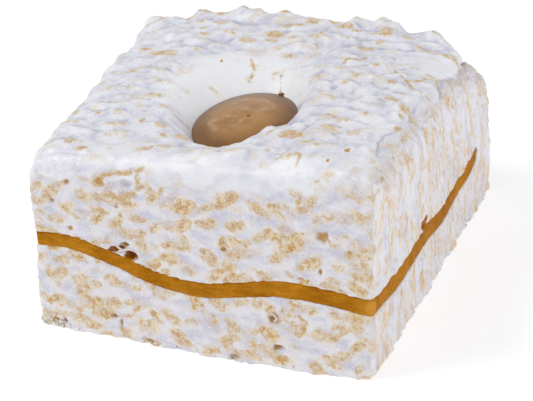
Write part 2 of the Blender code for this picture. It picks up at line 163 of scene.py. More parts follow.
# Uneven ridge along the top's back edge: its height in millimetres at even steps from left to right
BACK_RIDGE = (0.0, -0.4, -0.4, -0.7, 1.1, 0.5, 0.5, 2.0, 2.1, 1.2, 1.7, 1.3, 0.7, 0.8, 0.1, 2.0, 1.8, 1.9,
              1.7, -0.1, 0.9, 1.4, 0.2, -1.8, -1.8)
BACK_RIDGE_PLACE = DEPTH / 2 - 2.4 * MM
BACK_RIDGE_SLOPES = (4.2 * MM, 2.6 * MM)       # its reach to the front and to the back

# Folds and fine relief of the draped film
FOLD_DEPTHS = (0.8 * MM, 0.18 * MM)
FOLD_LENGTHS = ((7.5 * MM, 4.6 * MM, 7.5 * MM), (2.8 * MM, 1.8 * MM, 2.8 * MM))
FOLD_WANDER = 2.5 * MM
FINE_DEPTH = 0.13 * MM
FINE_LENGTH = 1.0 * MM
CRINKLES = ((23 * MM, -1 * MM), 12 * MM)        # middle and reach of the finely crinkled part of the top
POOL_LIP = (                # middle, reach and drop of the dents in the top before the pool
    ((4.0 * MM, -19.0 * MM), 14.0 * MM, 3.2 * MM),
    ((12.4 * MM, -14.0 * MM), 5.5 * MM, 2.2 * MM),
    ((8.6 * MM, -18.8 * MM), 3.0 * MM, -1.3 * MM),
)

# Right edge of the draped film, at even steps from front to back, where the knife went through it
FILM_EDGE = (32.5, 35.6, 33.6, 33.2, 35.4, 34.2, 34.5, 36.6, 35.0, 35.6, 36.2, 34.6, 32.6)
FILM_FULL = 35.8 * MM       # where it hangs over the side and leaves no step
FILM_STEP = 0.65 * MM
FILM_BACK_STEP = 1.6 * MM       # and how much more at the back
FILM_SWELL = 0.2 * MM
FILM_RAGGED = 0.6 * MM
BACK_FROM = 25 * MM
BACK_BLEND = 7 * MM

# The block's foot, frayed where it was cut against the board
FOOT_HEIGHT = 1.8 * MM
FOOT_FRAY = 0.38 * MM

# Mesh fineness
PLAIN_CELL = 1.2 * MM
VOXEL = 0.38 * MM
THREAD_VOXEL = 0.12 * MM
TRIANGLES = 190_000


def smooth_step(t):
    t = np.clip(t, 0.0, 1.0)
    return t * t * (3 - 2 * t)


def curve_through(heights_mm, t):
    """A smooth curve through evenly spaced heights, at the shares t of its length."""
    heights = np.array(heights_mm) * MM
    padded = np.concatenate(([heights[0]], heights, [heights[-1]]))
    along = np.clip(t, 0.0, 1.0) * (len(heights) - 1)
    span = np.minimum(along.astype(int), len(heights) - 2)
    s = along - span
    before, start, end, after = (padded[span + k] for k in range(4))
    leave, arrive = (end - before) / 2, (after - start) / 2
    return (start * (2 * s**3 - 3 * s**2 + 1) + leave * (s**3 - 2 * s**2 + s)
            + end * (3 * s**2 - 2 * s**3) + arrive * (s**3 - s**2))


def layer_middle(x, y):
    """Height of the caramel layer's middle: a surface stretched between its four side curves."""
    u = x / WIDTH + 0.5
    v = y / DEPTH + 0.5
    front, back = curve_through(LAYER_FRONT, u), curve_through(LAYER_BACK, u)
    left, right = curve_through(LAYER_LEFT, v), curve_through(LAYER_RIGHT, v)
    corners = ((1 - u) * (1 - v) * LAYER_FRONT[0] + u * (1 - v) * LAYER_FRONT[-1]
               + (1 - u) * v * LAYER_BACK[0] + u * v * LAYER_BACK[-1]) * MM
    return (1 - v) * front + v * back + (1 - u) * left + u * right - corners


def past_layer_end(x, y):
    return np.hypot(x - WIDTH / 2, y - DEPTH / 2) - LAYER_SHORT


def layer_swell(x, y):
    right = smooth_step((x - WIDTH / 4) / (WIDTH / 4))
    return LAYER_SWELL * right * smooth_step((y + DEPTH / 2 - 4 * MM) / (12 * MM))


def bed_offset(x, y):
    """How far each slab's inner face stays from the layer's middle."""
    opened = LAYER_THICKNESS / 2 + layer_swell(x, y)
    closing = smooth_step((past_layer_end(x, y) + BED_REACH) / BED_CLOSING)
    return -SLAB_OVERLAP + (opened + SLAB_OVERLAP) * closing


def uneven(points):
    """Move points of the plain block to their places in the hand-cut block."""
    u = points[:, 0] / WIDTH + 0.5
    v = points[:, 1] / DEPTH + 0.5
    w = points[:, 2] / HEIGHT
    placed = np.zeros_like(points)
    bow = 4 * u * (1 - u)
    placed[:, 1] = bow * (BACK_BOW * v - FRONT_BOW * (1 - v) * (1 - w))
    placed[:, 2] = bow * BACK_RISE * v * w
    for level, share_up in (("low", 1 - w), ("high", w)):
        for row, share_back in (("front", 1 - v), ("back", v)):
            for column, share_right in (("left", 1 - u), ("right", u)):
                corner = np.array(CORNERS[f"{row}_{column}_{level}"])
                placed += (share_up * share_back * share_right)[:, None] * corner
    return placed


def round_plan(x, y, radius):
    """Round the upright corners of the plan, keeping what is inside it inside."""
    over_x = np.maximum(np.abs(x) - (WIDTH / 2 - radius), 0.0)
    over_y = np.maximum(np.abs(y) - (DEPTH / 2 - radius), 0.0)
    away = np.hypot(over_x, over_y)
    pull = np.where(away > 0, 1 - np.maximum(over_x, over_y) / np.where(away > 0, away, 1.0), 0.0)
    return x - np.sign(x) * over_x * pull, y - np.sign(y) * over_y * pull


def side_direction(x, y):
    """The way out of the nearest side, level, for points of the plan."""
    reach_x = np.sign(x) * np.maximum(np.abs(x) - (WIDTH / 2 - TOP_ROLL), 0.0)
    reach_y = np.sign(y) * np.maximum(np.abs(y) - (DEPTH / 2 - TOP_ROLL), 0.0)
    reach = np.stack([reach_x, reach_y, np.zeros_like(x)], axis=1)
    length = np.linalg.norm(reach, axis=1, keepdims=True)
    return reach / np.where(length > 0, length, 1.0)


def wall_depth(points):
    """How far points lie in from the nearest side of the plan."""
    return np.minimum(WIDTH / 2 - np.abs(points[:, 0]), DEPTH / 2 - np.abs(points[:, 1]))


def roll_over(x, y, z, top):
    """Roll the top's rim over the sides: the move of each point, and the way out of the surface there."""
    inside = np.minimum(WIDTH / 2 - np.abs(x), DEPTH / 2 - np.abs(y))
    from_side = np.clip(TOP_ROLL - inside, 0.0, TOP_ROLL)
    from_top = np.clip(TOP_ROLL - (top - z), 0.0, TOP_ROLL)
    away = np.hypot(from_side, from_top)
    shrink = np.where(away > 0, np.maximum(from_side, from_top) / np.where(away > 0, away, 1.0), 1.0)
    outward = side_direction(x, y)
    moved = outward * (from_side * (shrink - 1))[:, None]
    moved[:, 2] = from_top * (shrink - 1)
    facing = outward * from_side[:, None]
    facing[:, 2] = from_top
    length = np.linalg.norm(facing, axis=1, keepdims=True)
    facing = np.where(length > 0, facing / np.where(length > 0, length, 1.0), outward)
    return moved, facing


def swell(points, size, length):
    """Slow unevenness, from smooth noise in space."""
    return size * np.array([noise.noise(Vector(point / length)) for point in points])


LATTICE = 32


def lattice_noise(points, length, seed):
    """Smooth noise in space from -1 to 1: random values on a lattice, blended between its corners."""
    values = np.random.default_rng(seed).uniform(-1, 1, (LATTICE,) * 3)
    place = points / np.asarray(length)
    corner = np.floor(place).astype(int)
    share = smooth_step(place - corner)
    total = np.zeros(len(points))
    for step in np.ndindex(2, 2, 2):
        weight = np.prod(np.where(step, share, 1 - share), axis=1)
        index = (corner + step) % LATTICE
        total += weight * values[index[:, 0], index[:, 1], index[:, 2]]
    return total


def oval_radius(x, y, centre, radii):
    return np.hypot((x - centre[0]) / radii[0], (y - centre[1]) / radii[1])


def round_patch(x, y, centre, reach):
    """1 in the middle of a round patch, and 0 from its reach on."""
    return 1 - smooth_step(oval_radius(x, y, centre, (reach, reach)))


def dents(x, y, places):
    """How far a surface is lowered by round dents, each with its middle, reach and drop."""
    return sum(drop * round_patch(x, y, centre, reach) for centre, reach, drop in places)


def bulge(points, middle, reach, rise):
    """How far a rounded bulge stands out at each point."""
    return rise * np.clip(1 - (((points - middle) / reach) ** 2).sum(axis=1), 0.0, 1.0)


def press_dimple(points, share):
    """Sink the top into the dimple, fully at the slab's top and not at all at its foot."""
    x, y, z = points.T
    from_pool = oval_radius(x, y, POOL_CENTRE, POOL_RADII)
    from_rim = oval_radius(x, y, RIM_CENTRE, RIM_RADII)
    level = POOL_LEVEL - POOL_BED_CLEARANCE
    bed = level - POOL_DEPTH * (1 - np.minimum(from_pool, 1.0) ** 2)
    outside = np.maximum(from_pool - 1, 0.0)
    to_rim = np.maximum(1 - from_rim, 0.0) * RIM_RADII[0] / POOL_RADII[0]
    climb = np.sin(math.pi / 2 * outside / np.maximum(outside + to_rim, TINY))
    slope = level + (z - level) * climb
    pressed = np.where(from_rim >= 1, z, np.where(from_pool < 1, bed + (z - HEIGHT) * 0.25, slope))
    points[:, 2] = z + (pressed - z) * smooth_step((share - 0.5) / 0.4)


def to_real(plain):
    """Move points of the plain block to the real one, as the solids stand in the frame."""
    low = layer_middle(plain[:, 0], plain[:, 1])
    share = np.clip((plain[:, 2] - low) / (HEIGHT - low), 0.0, 1.0)
    facing = roll_over(plain[:, 0], plain[:, 1], plain[:, 2], HEIGHT)[1]
    points = uneven(plain)
    points[:, 2] += swell(points, SWELL, SWELL_LENGTH) * np.clip(facing[:, 2], 0, 1)
    points[:, 2] -= share ** 2 * dents(points[:, 0], points[:, 1], SAGS)
    press_dimple(points, share)
    points[:, 0] += bulge(points, *LOBE)
    return points + STAND


def stand_of_block():
    """The move that brings the block's own origin to the frame's, read from the pool's place."""
    low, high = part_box("caramel_pool")
    x, y = ((low + high) / 2).xy
    return np.array([x - POOL_CENTRE[0], y - POOL_CENTRE[1], low.z - (POOL_LEVEL - POOL_DEPTH)])


STAND = stand_of_block()


def read_points(obj, kind="co"):
    """A mesh's points or, of the kind "normal", the way out of the mesh at each of them."""
    flat = np.empty(3 * len(obj.data.vertices), dtype=np.float32)
    obj.data.vertices.foreach_get(kind, flat)
    return flat.reshape(-1, 3).astype(float)


def write_points(obj, points):
    obj.data.vertices.foreach_set("co", points.astype(np.float32).ravel())
    obj.data.update()


def push_out(obj, amounts):
    """Move a mesh's points along its normals."""
    write_points(obj, read_points(obj) + read_points(obj, "normal") * amounts[:, None])


def put_in_scene(name, data):
    obj = bpy.data.objects.new(name, data)
    bpy.context.scene.collection.objects.link(obj)
    return obj


def pick_only(obj):
    bpy.ops.object.select_all(action="DESELECT")
    obj.select_set(True)
    bpy.context.view_layer.objects.active = obj


def apply_modifier(obj, kind, **settings):
    pick_only(obj)
    modifier = obj.modifiers.new(kind.lower(), kind)
    for name, value in settings.items():
        setattr(modifier, name, value)
    bpy.ops.object.modifier_apply(modifier=modifier.name)


def remesh(obj, rounds, voxel=VOXEL):
    """Lay an even mesh over a piece and smooth it."""
    apply_modifier(obj, "REMESH", mode="VOXEL", voxel_size=voxel)
    apply_modifier(obj, "SMOOTH", factor=0.5, iterations=rounds)


def cut_across(obj, axis, count):
    """Cut every face into strips across one axis."""
    pick_only(obj)
    bpy.ops.object.mode_set(mode="EDIT")
    bpy.ops.mesh.select_mode(type="EDGE")
    bpy.ops.mesh.select_all(action="DESELECT")
    bpy.ops.object.mode_set(mode="OBJECT")
    points = read_points(obj)
    for edge in obj.data.edges:
        start, end = edge.vertices
        edge.select = bool(abs(points[start, axis] - points[end, axis]) > MM)
    bpy.ops.object.mode_set(mode="EDIT")
    bpy.ops.mesh.subdivide(number_cuts=count - 1)
    bpy.ops.object.mode_set(mode="OBJECT")


def cube_in_cells(name, cells):
    """A cube from -1 to 1, cut into cells."""
    bpy.ops.mesh.primitive_cube_add(size=2.0)
    cube = bpy.context.object
    cube.name = cube.data.name = name
    for axis, count in enumerate(cells):
        cut_across(cube, axis, count)
    return cube


def cells_for(height):
    return round(WIDTH / PLAIN_CELL), round(DEPTH / PLAIN_CELL), round(height / PLAIN_CELL)


def join_into(obj, others):
    bpy.ops.object.select_all(action="DESELECT")
    for other in others:
        other.select_set(True)
    obj.select_set(True)
    bpy.context.view_layer.objects.active = obj
    bpy.ops.object.join()


def nearest_of(places, points, count):
    """Which of some places lie nearest to each point, in as many rows as are asked for."""
    tree = kdtree.KDTree(len(places))
    for index, place in enumerate(places):
        tree.insert(place, index)
    tree.balance()
    return np.array([[found[1] for found in tree.find_n(point, count)] for point in points]).T


class Grains:
    """Grains of puffed rice as ellipsoids: their middles, axes, radii and how toasted each one is."""

    def __init__(self, centres, along, across, radii, tones):
        self.centres = centres
        self.axes = np.stack([along, across, np.cross(along, across)], axis=1)
        self.radii = radii
        self.tones = tones

    def nearest(self, points):
        """Distance from each point to the nearest grain's skin, negative inside it, and which that is."""
        best = np.full(len(points), np.inf)
        which = np.zeros(len(points), dtype=int)
        for row in nearest_of(self.centres, points, NEAR_GRAINS):
            shares = np.einsum("nij,nj->ni", self.axes[row], points - self.centres[row]) / self.radii[row]
            from_middle = np.linalg.norm(shares, axis=1)
            slope = np.linalg.norm(shares / self.radii[row], axis=1)
            distance = from_middle * (from_middle - 1) / np.maximum(slope, TINY)
            closer = distance < best
            best = np.where(closer, distance, best)
            which = np.where(closer, row, which)
        return best, which


def unit(vectors):
    return vectors / np.linalg.norm(vectors, axis=1, keepdims=True)


def rice_in_block():
    """Grains through the block, wherever its sides or its underside can cut them."""
    draw = np.random.default_rng(SEED)
    steps = [np.arange(-half, half + step, step) for half, step in
             ((WIDTH / 2, GRAIN_CELL[0]), (DEPTH / 2, GRAIN_CELL[1]))]
    steps.append(np.arange(0, HEIGHT + GRAIN_CELL[2], GRAIN_CELL[2]))
    lattice = np.stack(np.meshgrid(*steps, indexing="ij"), axis=-1)
    lattice[:, ::2, :, 0] += GRAIN_CELL[0] / 2
    lattice[:, :, ::2, 1] += GRAIN_CELL[1] / 2
    places = lattice.reshape(-1, 3)
    places = places + draw.uniform(-GRAIN_SHIFT, GRAIN_SHIFT, places.shape) * GRAIN_CELL
    shown = (wall_depth(places) < GRAIN_SHELL) | (places[:, 2] < GRAIN_SHELL)
    places = places[shown & (places[:, 2] < HEIGHT - 1 * MM)]
    count = len(places)
    turn = draw.uniform(-GRAIN_TURN, GRAIN_TURN, count)
    lean = draw.uniform(-GRAIN_LEAN, GRAIN_LEAN, count)
    along = np.stack([np.cos(turn) * np.cos(lean), np.sin(turn) * np.cos(lean), np.sin(lean)], axis=1)
    across = unit(np.cross((0.0, 0.0, 1.0), along))
    radii = np.array(GRAIN_RADII) * (1 + draw.uniform(-GRAIN_UNEVEN, GRAIN_UNEVEN, (count, 3)))
    return Grains(places, along, across, radii, draw.uniform(0, 1, count))


# Where the marshmallow lies thick and smooth over the top: middle on the plain block, reach, and how white,
# which is partly painted light where the top faces the lamps
THICK_FILM = (
    ((-5.0 * MM, 6.0 * MM), (16.0 * MM, 11.0 * MM), 1.0),
    ((-15.6 * MM, -2.0 * MM), (6.0 * MM, 12.0 * MM), 0.9),
    ((6.0 * MM, -37.0 * MM), (32.0 * MM, 3.5 * MM), 0.4),
    ((-20.0 * MM, -31.0 * MM), (9.0 * MM, 4.0 * MM), 0.5),
    ((31.0 * MM, -32.0 * MM), (6.0 * MM, 5.0 * MM), 0.3),
    ((29.8 * MM, -15.0 * MM), (5.0 * MM, 3.5 * MM), 0.6),
    ((32.5 * MM, 18.0 * MM), (5.0 * MM, 6.5 * MM), 0.7),
    ((-12.0 * MM, 29.0 * MM), (5.0 * MM, 3.0 * MM), 0.3),
)


def film_cover(points):
    """Where marshmallow lies thick, and where it is whitest, partly as painted light: 1 in a middle, 0 away
    from it.
    """
    cover, white = np.zeros(len(points)), np.zeros(len(points))
    for centre, reach, whiteness_and_light in THICK_FILM:
        away = oval_radius(points[:, 0], points[:, 1], centre, reach)
        share = 1 - smooth_step((away - 0.6) / 0.6)
        cover = np.maximum(cover, share)
        white = np.maximum(white, share * whiteness_and_light)
    return cover, white


def film_edge(points):
    return curve_through(FILM_EDGE, points[:, 1] / DEPTH + 0.5)


def past_film(points):
    """How far points lie to the right of the draped film's cut edge."""
    ragged = lattice_noise(points, 3.0 * MM, 61) + 0.6 * lattice_noise(points, 1.3 * MM, 62)
    return points[:, 0] + FILM_RAGGED * ragged - film_edge(points)


def near_back(points):
    return smooth_step((points[:, 1] - BACK_FROM) / BACK_BLEND)


def behind_middle(points):
    return smooth_step((points[:, 1] - 5 * MM) / (5 * MM))


class Lumps:
    """Lumps of the draped top, one over each grain: a long front slope, a steep back, a toasted patch."""

    def __init__(self, spots, turns, patches, heights, shows):
        self.spots = spots
        self.along = np.stack([np.cos(turns), np.sin(turns)], axis=1)
        self.patches = patches
        self.reach = patches + LUMP_MARGIN
        self.heights = heights
        self.shows = shows

    def relief(self, points):
        """Height of the lumps at points of the top, how toasted it is, and the grains' outlines there."""
        blended = np.ones(len(points))
        toasted, outlined = np.zeros((2, len(points)))
        spots = np.pad(self.spots, ((0, 0), (0, 1)))
        for row in nearest_of(spots, points * (1, 1, 0), NEAR_LUMPS):
            away = points[:, :2] - self.spots[row]
            along = (away * self.along[row]).sum(axis=1)
            across = away[:, 1] * self.along[row, 0] - away[:, 0] * self.along[row, 1]
            length, width = self.reach[row].T
            out = np.hypot(along / length, across / (np.where(across > 0, LUMP_BACK, 1.0) * width))
            height = self.heights[row] * np.clip(1 - out ** 2, 0.0, 1.0) ** 1.5
            length, width = self.patches[row].T
            from_patch = np.hypot(along / length, across / width + 0.2)
            toasted = np.maximum(toasted, self.shows[row] * np.clip(1.5 - from_patch, 0.0, 1.0))
            outline = np.exp(-((from_patch - 1.1) / 0.2) ** 2) * smooth_step(across / width + 0.4)
            outlined = np.maximum(outlined, self.shows[row] * outline)
            blended += np.exp(height / LUMP_BLEND) - 1
        return LUMP_BLEND * np.log(blended), toasted, outlined


def film_edge_share(points):
    """The film's edge stands up where it draws back, and fades out where the top rolls over the front."""
    drawn_back = np.maximum(smooth_step((FILM_FULL - film_edge(points)) / (2 * MM)), behind_middle(points))
    return (0.25 + 0.75 * drawn_back) * smooth_step((points[:, 1] + DEPTH / 2 - 1.5 * MM) / (4 * MM))


def rice_on_top():
    """The lumps seen in the photograph and others like them between."""
    draw = np.random.default_rng(SEED + 1)
    lumps = [(*values, draw.uniform(0.5, 1.0)) for values in TOP_PATCHES]
    spots = [np.array(lump[:2]) * MM for lump in lumps]
    side = WIDTH / 2 - 1.0 * MM
    for spot in draw.uniform(-side, side, (LUMP_TRIES, 2)):
        gaps = np.hypot(*((np.array(spots) - spot) / LUMP_SPACING).T)
        if gaps.min() > 1:
            spots.append(spot)
            length, width = draw.uniform(*PATCH_LENGTH), draw.uniform(*PATCH_WIDTH)
            turn, shows = draw.uniform(-LUMP_TURN, LUMP_TURN), max(0.0, draw.uniform(-0.25, 1.0))
            lumps.append((*spot / MM, length, width, turn, shows, draw.uniform(0.0, 1.0) ** 1.5))
    x, y, length, width, turn, shows, tall = np.array(lumps).T
    spots = np.stack([x, y], axis=1) * MM
    low, high = LUMP_HEIGHT
    heights = low + (high - low) * tall
    heights *= 0.15 + 0.85 * (1 - film_cover(spots)[0])
    patches = np.stack([length, width], axis=1) * MM / 2
    return Lumps(spots, np.radians(turn), patches, heights, shows * (1 - 0.6 * film_cover(spots)[0]))


def back_ridge(points):
    ahead = BACK_RIDGE_PLACE - points[:, 1]
    front, back = BACK_RIDGE_SLOPES
    away = np.abs(ahead) / np.where(ahead > 0, front, back)
    knobbly = 1 + 0.3 * lattice_noise(points * (1, 1, 0), 2.0 * MM, 97)
    return curve_through(BACK_RIDGE, points[:, 0] / WIDTH + 0.5) * knobbly * np.clip(1 - away ** 2, 0, 1)


def raise_lumps(obj, lumps, cut_of):
    """Raise the draped top's lumps, folds and back ridge, and lower it before the pool."""
    points = read_points(obj)
    x, y, z = points.T
    wander = np.stack([lattice_noise(points, 4 * FOLD_WANDER, seed) for seed in (93, 94, 95)], axis=1)
    relief = FINE_DEPTH * lattice_noise(points, FINE_LENGTH, 92)
    crinkled = 1 + 1.5 * round_patch(x, y, *CRINKLES)
    for depth, length, seed, share in zip(FOLD_DEPTHS, FOLD_LENGTHS, (91, 96), (1.0, crinkled)):
        relief += depth * share * np.abs(lattice_noise(points + FOLD_WANDER * wander, length, seed)) ** 0.8
    height = lumps.relief(points)[0] + relief * (1 - 0.85 * film_cover(points)[0]) + back_ridge(points)
    outside = smooth_step((oval_radius(x, y, POOL_CENTRE, POOL_RADII) - 1) / 0.3)
    height -= outside * dents(x, y, POOL_LIP)
    high = smooth_step((z - HEIGHT + TOP_ROLL + 1 * MM) / (2 * MM)) * (1 - cut_of(points))
    inward = smooth_step(-past_film(points) / (2.5 * MM - 1.8 * MM * near_back(points)))
    push_out(obj, height * high * inward)


HOLLOW_ROUNDS = (8, 60)     # of its neighbours, over which a point's two hollownesses are measured


def hollowness(obj):
    """Millimetres by which each point lies below the mean of the surface close by, and further round it."""
    points = read_points(obj)
    count = len(points)
    ends = np.empty(2 * len(obj.data.edges), dtype=np.int32)
    obj.data.edges.foreach_get("vertices", ends)
    ends = ends.reshape(-1, 2)
    one, other = np.concatenate([ends, ends[:, ::-1]]).T
    share = 1 / np.maximum(np.bincount(one, minlength=count), 1)
    mean, below = points, []
    for round_done in range(1, HOLLOW_ROUNDS[1] + 1):
        mean = np.stack([np.bincount(one, weights=column[other], minlength=count) * share
                         for column in mean.T], axis=1)
        if round_done in HOLLOW_ROUNDS:
            below.append(((mean - points) * read_points(obj, "normal")).sum(axis=1) / MM)
    return below


def grain_bodies(name, grains, rings=2):
    """All of some grains as one mesh: one ball, copied to each grain's place and size."""
    bpy.ops.mesh.primitive_ico_sphere_add(subdivisions=rings, radius=1.0)
    ball = bpy.context.object
    ball.name = ball.data.name = name
    skin = read_points(ball)
    faces = np.array([polygon.vertices[:] for polygon in ball.data.polygons])
    local = skin[None] * grains.radii[:, None]
    points = np.einsum("nij,nki->nkj", grains.axes, local) + grains.centres[:, None]
    first = np.arange(len(grains.centres))[:, None, None] * len(skin)
    mesh = bpy.data.meshes.new(name)
    mesh.from_pydata(points.reshape(-1, 3).tolist(), [], (faces[None] + first).reshape(-1, 3).tolist())
    ball.data = mesh
    return ball


def thin_hidden(obj, hidden):
    """Thin out the mesh where it can't be seen, until the piece has few enough triangles."""
    group = obj.vertex_groups.new(name="hidden")
    group.add(np.nonzero(hidden)[0].tolist(), 1.0, "REPLACE")
    apply_modifier(obj, "TRIANGULATE")
    count = len(obj.data.polygons)
    if count > TRIANGLES:
        apply_modifier(obj, "DECIMATE", ratio=TRIANGLES / count, vertex_group="hidden")
    obj.vertex_groups.clear()


# Pits in the cut sides, in millimetres: side, place along it, height, length, rise and depth, and how brown,
# the darkest brown partly painted shade
PITS = (
    ("front", -16.0, 22.0, 2.4, 1.4, 1.2, 0.6),
    ("front", -18.4, 20.6, 3.0, 1.7, 1.4, 1.0),
    ("front", -16.8, 20.9, 1.8, 1.4, 0.8, 0.7),
    ("front", -14.7, 19.7, 3.2, 2.8, 2.8, 1.0),
    ("front", -16.2, 35.0, 6.4, 3.0, 0.6, 0.0),
    ("front", -20.6, 35.4, 2.6, 2.4, 0.3, 0.14),
    ("front", -11.6, 34.8, 1.8, 1.4, 0.3, 0.1),
    ("front", -28.8, 35.2, 1.8, 1.8, 0.4, 0.22),
    ("front", -32.6, 30.6, 1.6, 1.8, 0.3, 0.3),
    ("front", -17.4, 30.4, 1.6, 1.2, 0.15, 0.2),
    ("front", -16.6, 28.6, 1.4, 1.0, 0.15, 0.25),
    ("front", -28.6, 24.4, 1.8, 1.6, 0.3, 0.3),
    ("front", -31.4, 1.8, 1.0, 1.2, 1.4, 0.6),
    ("front", 6.4, 23.4, 1.8, 1.1, 0.5, 0.35),
    ("front", 27.3, 27.6, 3.6, 2.8, 0.45, 0.25),
    ("front", 27.0, 20.8, 0.9, 1.8, 0.4, 0.35),
    ("front", 17.0, 10.3, 2.8, 2.4, 0.4, 0.3),
    ("front", 18.0, 4.4, 2.8, 1.3, 0.9, 0.4),
    ("front", 23.0, 19.2, 1.8, 0.8, 0.3, 0.25),
    ("front", -19.2, 5.0, 2.6, 1.0, 0.8, 0.3),
    ("front", -17.7, 3.7, 1.0, 2.8, 0.8, 0.3),
    ("front", -33.2, 1.2, 3.0, 1.6, 1.0, 0.1),
    ("front", -11.2, 0.8, 3.4, 1.4, 0.8, 0.1),
    ("front", 8.4, 0.8, 2.6, 1.2, 0.8, 0.1),
    ("right", -8.0, 16.6, 4.0, 3.4, 0.8, 4.0),
)

# A spot of plain marshmallow amid a ring of rice on the front: place, and reach
BARE_SPOT = (-16.2 * MM, 35.2 * MM)
BARE_REACH = (3.6 * MM, 1.9 * MM)

# Gold lines where a grain's skin shows: side, width, and places along the line
LINES = (
    ("top", 1.0, ((22.0, 28.0), (25.8, 27.6), (30.0, 26.3), (34.4, 24.0))),
    ("top", 1.0, ((25.6, 13.0), (28.4, 9.2), (31.0, 6.2), (34.0, 3.8))),
    ("top", 1.0, ((32.0, 14.2), (34.8, 13.0), (35.2, 10.2))),
    ("top", 1.2, ((-7.0, 14.0), (-5.4, 11.6), (-5.6, 9.0))),
    ("top", 0.8, ((1.2, 12.4), (1.0, 10.0), (1.8, 7.0))),
    ("top", 1.0, ((9.2, 17.4), (10.8, 19.2), (13.2, 19.4))),
    ("top", 1.0, ((16.4, -13.8), (18.6, -13.0), (21.4, -13.4))),
    ("top", 1.0, ((16.4, -32.4), (19.4, -32.0), (21.2, -33.4), (21.0, -35.2))),
    ("top", 1.0, ((5.4, 26.9), (5.0, 22.0), (6.8, 18.5))),
    ("top", 1.2, ((14.7, 12.1), (15.9, 15.3), (17.7, 18.1))),
    ("top", 1.0, ((14.0, -25.8), (16.6, -26.2), (18.8, -25.2))),
    ("front", 2.8, ((-20.8, 36.0), (-19.6, 33.4), (-16.6, 32.6), (-13.2, 33.6), (-12.0, 35.2),
                    (-12.8, 37.0))),
    ("front", 1.8, ((-20.0, 37.0), (-17.4, 37.4), (-14.4, 37.6), (-11.6, 38.2))),
    ("front", 4.2, ((-20.8, 36.0), (-20.0, 34.2))),
    ("front", 1.0, ((20.4, 11.4), (22.6, 11.6), (24.2, 10.4), (23.4, 8.0), (21.6, 6.6))),
)

# Ringed orange dots on the top: place, and size
DOTS = ((29.0, -28.2, 1.0), (27.0, -34.0, 0.6), (-12.6, 11.2, 0.55))
FARTHEST = 3.0              # millimetres past which distance to a mark isn't told apart


def press_pits(points):
    """Push the cut sides in at the pits, and give how brown each point is there, partly as painted shade."""
    brown = np.zeros(len(points))
    ragged = lattice_noise(points, 1.1 * MM, 21) + 0.6 * lattice_noise(points, 0.6 * MM, 22)
    for side, along, height, length, rise, depth, shade in PITS:
        axis, across, sign = (1, 0, -1) if side == "front" else (0, 1, 1)
        wall = DEPTH / 2 if axis else WIDTH / 2
        away = np.hypot((points[:, across] - along * MM) / (length * MM / 2),
                        (points[:, 2] - height * MM) / (rise * MM / 2))
        on_wall = sign * points[:, axis] > wall - 3.0 * MM
        share = np.clip(1 - (away + 0.4 * ragged * np.minimum(away, 1.0)) ** 2, 0.0, 1.0) * on_wall
        points[:, axis] -= sign * depth * MM * np.sqrt(share)
        brown = np.maximum(brown, share * shade)
    return brown


def edge_shade(points):
    """Shade along the foot of the draped film's cut edge."""
    wide = behind_middle(points)
    near = np.exp(-((past_film(points) / MM - 0.25 - 0.3 * wide) / (0.3 + 0.4 * wide)) ** 2)
    return near * film_edge_share(points) * (points[:, 2] > HEIGHT - 2 * TOP_ROLL)


def line_distance(points):
    """Distance from each point to the nearest gold line on its side, in shares of the line's width."""
    nearest = np.full(len(points), FARTHEST)
    for side, width, path in LINES:
        if side == "top":
            flat, there = points[:, (0, 1)] / MM, points[:, 2] > HEIGHT - TOP_ROLL
        else:
            flat, there = points[:, (0, 2)] / MM, points[:, 1] < 3 * MM - DEPTH / 2
        for start, end in zip(path, path[1:]):
            step = np.subtract(end, start)
            share = np.clip((flat - start) @ step / (step @ step), 0, 1)
            away = np.hypot(*(flat - start - share[:, None] * step).T) / width
            nearest = np.where(there, np.minimum(nearest, away), nearest)
    return nearest


def dot_distance(points):
    nearest = np.full(len(points), FARTHEST)
    for x, y, size in DOTS:
        away = np.hypot(*((points[:, :2] / MM - (x, y)) * (1.0, 0.6)).T) / size
        nearest = np.where(points[:, 2] > HEIGHT - TOP_ROLL, np.minimum(nearest, away), nearest)
    return nearest


ROUGH = ((0.16 * MM, 1.6 * MM, 31), (0.10 * MM, 0.8 * MM, 32))      # depth, length and seed
TORN = 0.14 * MM            # how far marshmallow stands out round a grain
SUNK = 0.08 * MM            # how far a grain's inside lies back
PORES = 0.25 * MM


def work_cut_faces(obj, cut, grain):
    """Work the cut faces over: rice stands a little behind torn marshmallow, all of it rough."""
    points = read_points(obj)
    from_layer = np.abs(points[:, 2] - layer_middle(points[:, 0], points[:, 1])) - LAYER_THICKNESS / 2
    cut = cut * (0.3 + 0.7 * smooth_step(from_layer / (1.2 * MM)))
    inside = smooth_step(-grain / (0.4 * MM))
    torn = np.exp(-((grain / MM - 0.25) / 0.3) ** 2)
    rough = sum(depth * lattice_noise(points, length, seed) for depth, length, seed in ROUGH)
    pores = PORES * np.clip(lattice_noise(points, 1.0 * MM, 33), 0, 1)
    points += read_points(obj, "normal") * (cut * (rough + TORN * torn - inside * (SUNK + pores)))[:, None]
    press_pits(points)
    write_points(obj, points)


def outward_swell(points):
    """The move of the plain block's points where its cut sides swell and bulge."""
    on_side = smooth_step(1.5 - wall_depth(points) / MM)
    moved = side_direction(points[:, 0], points[:, 1])
    moved *= (on_side * swell(points, SIDE_SWELL, SWELL_LENGTH))[:, None]
    moved[:, 0] += bulge(points, *BULGE)
    return moved


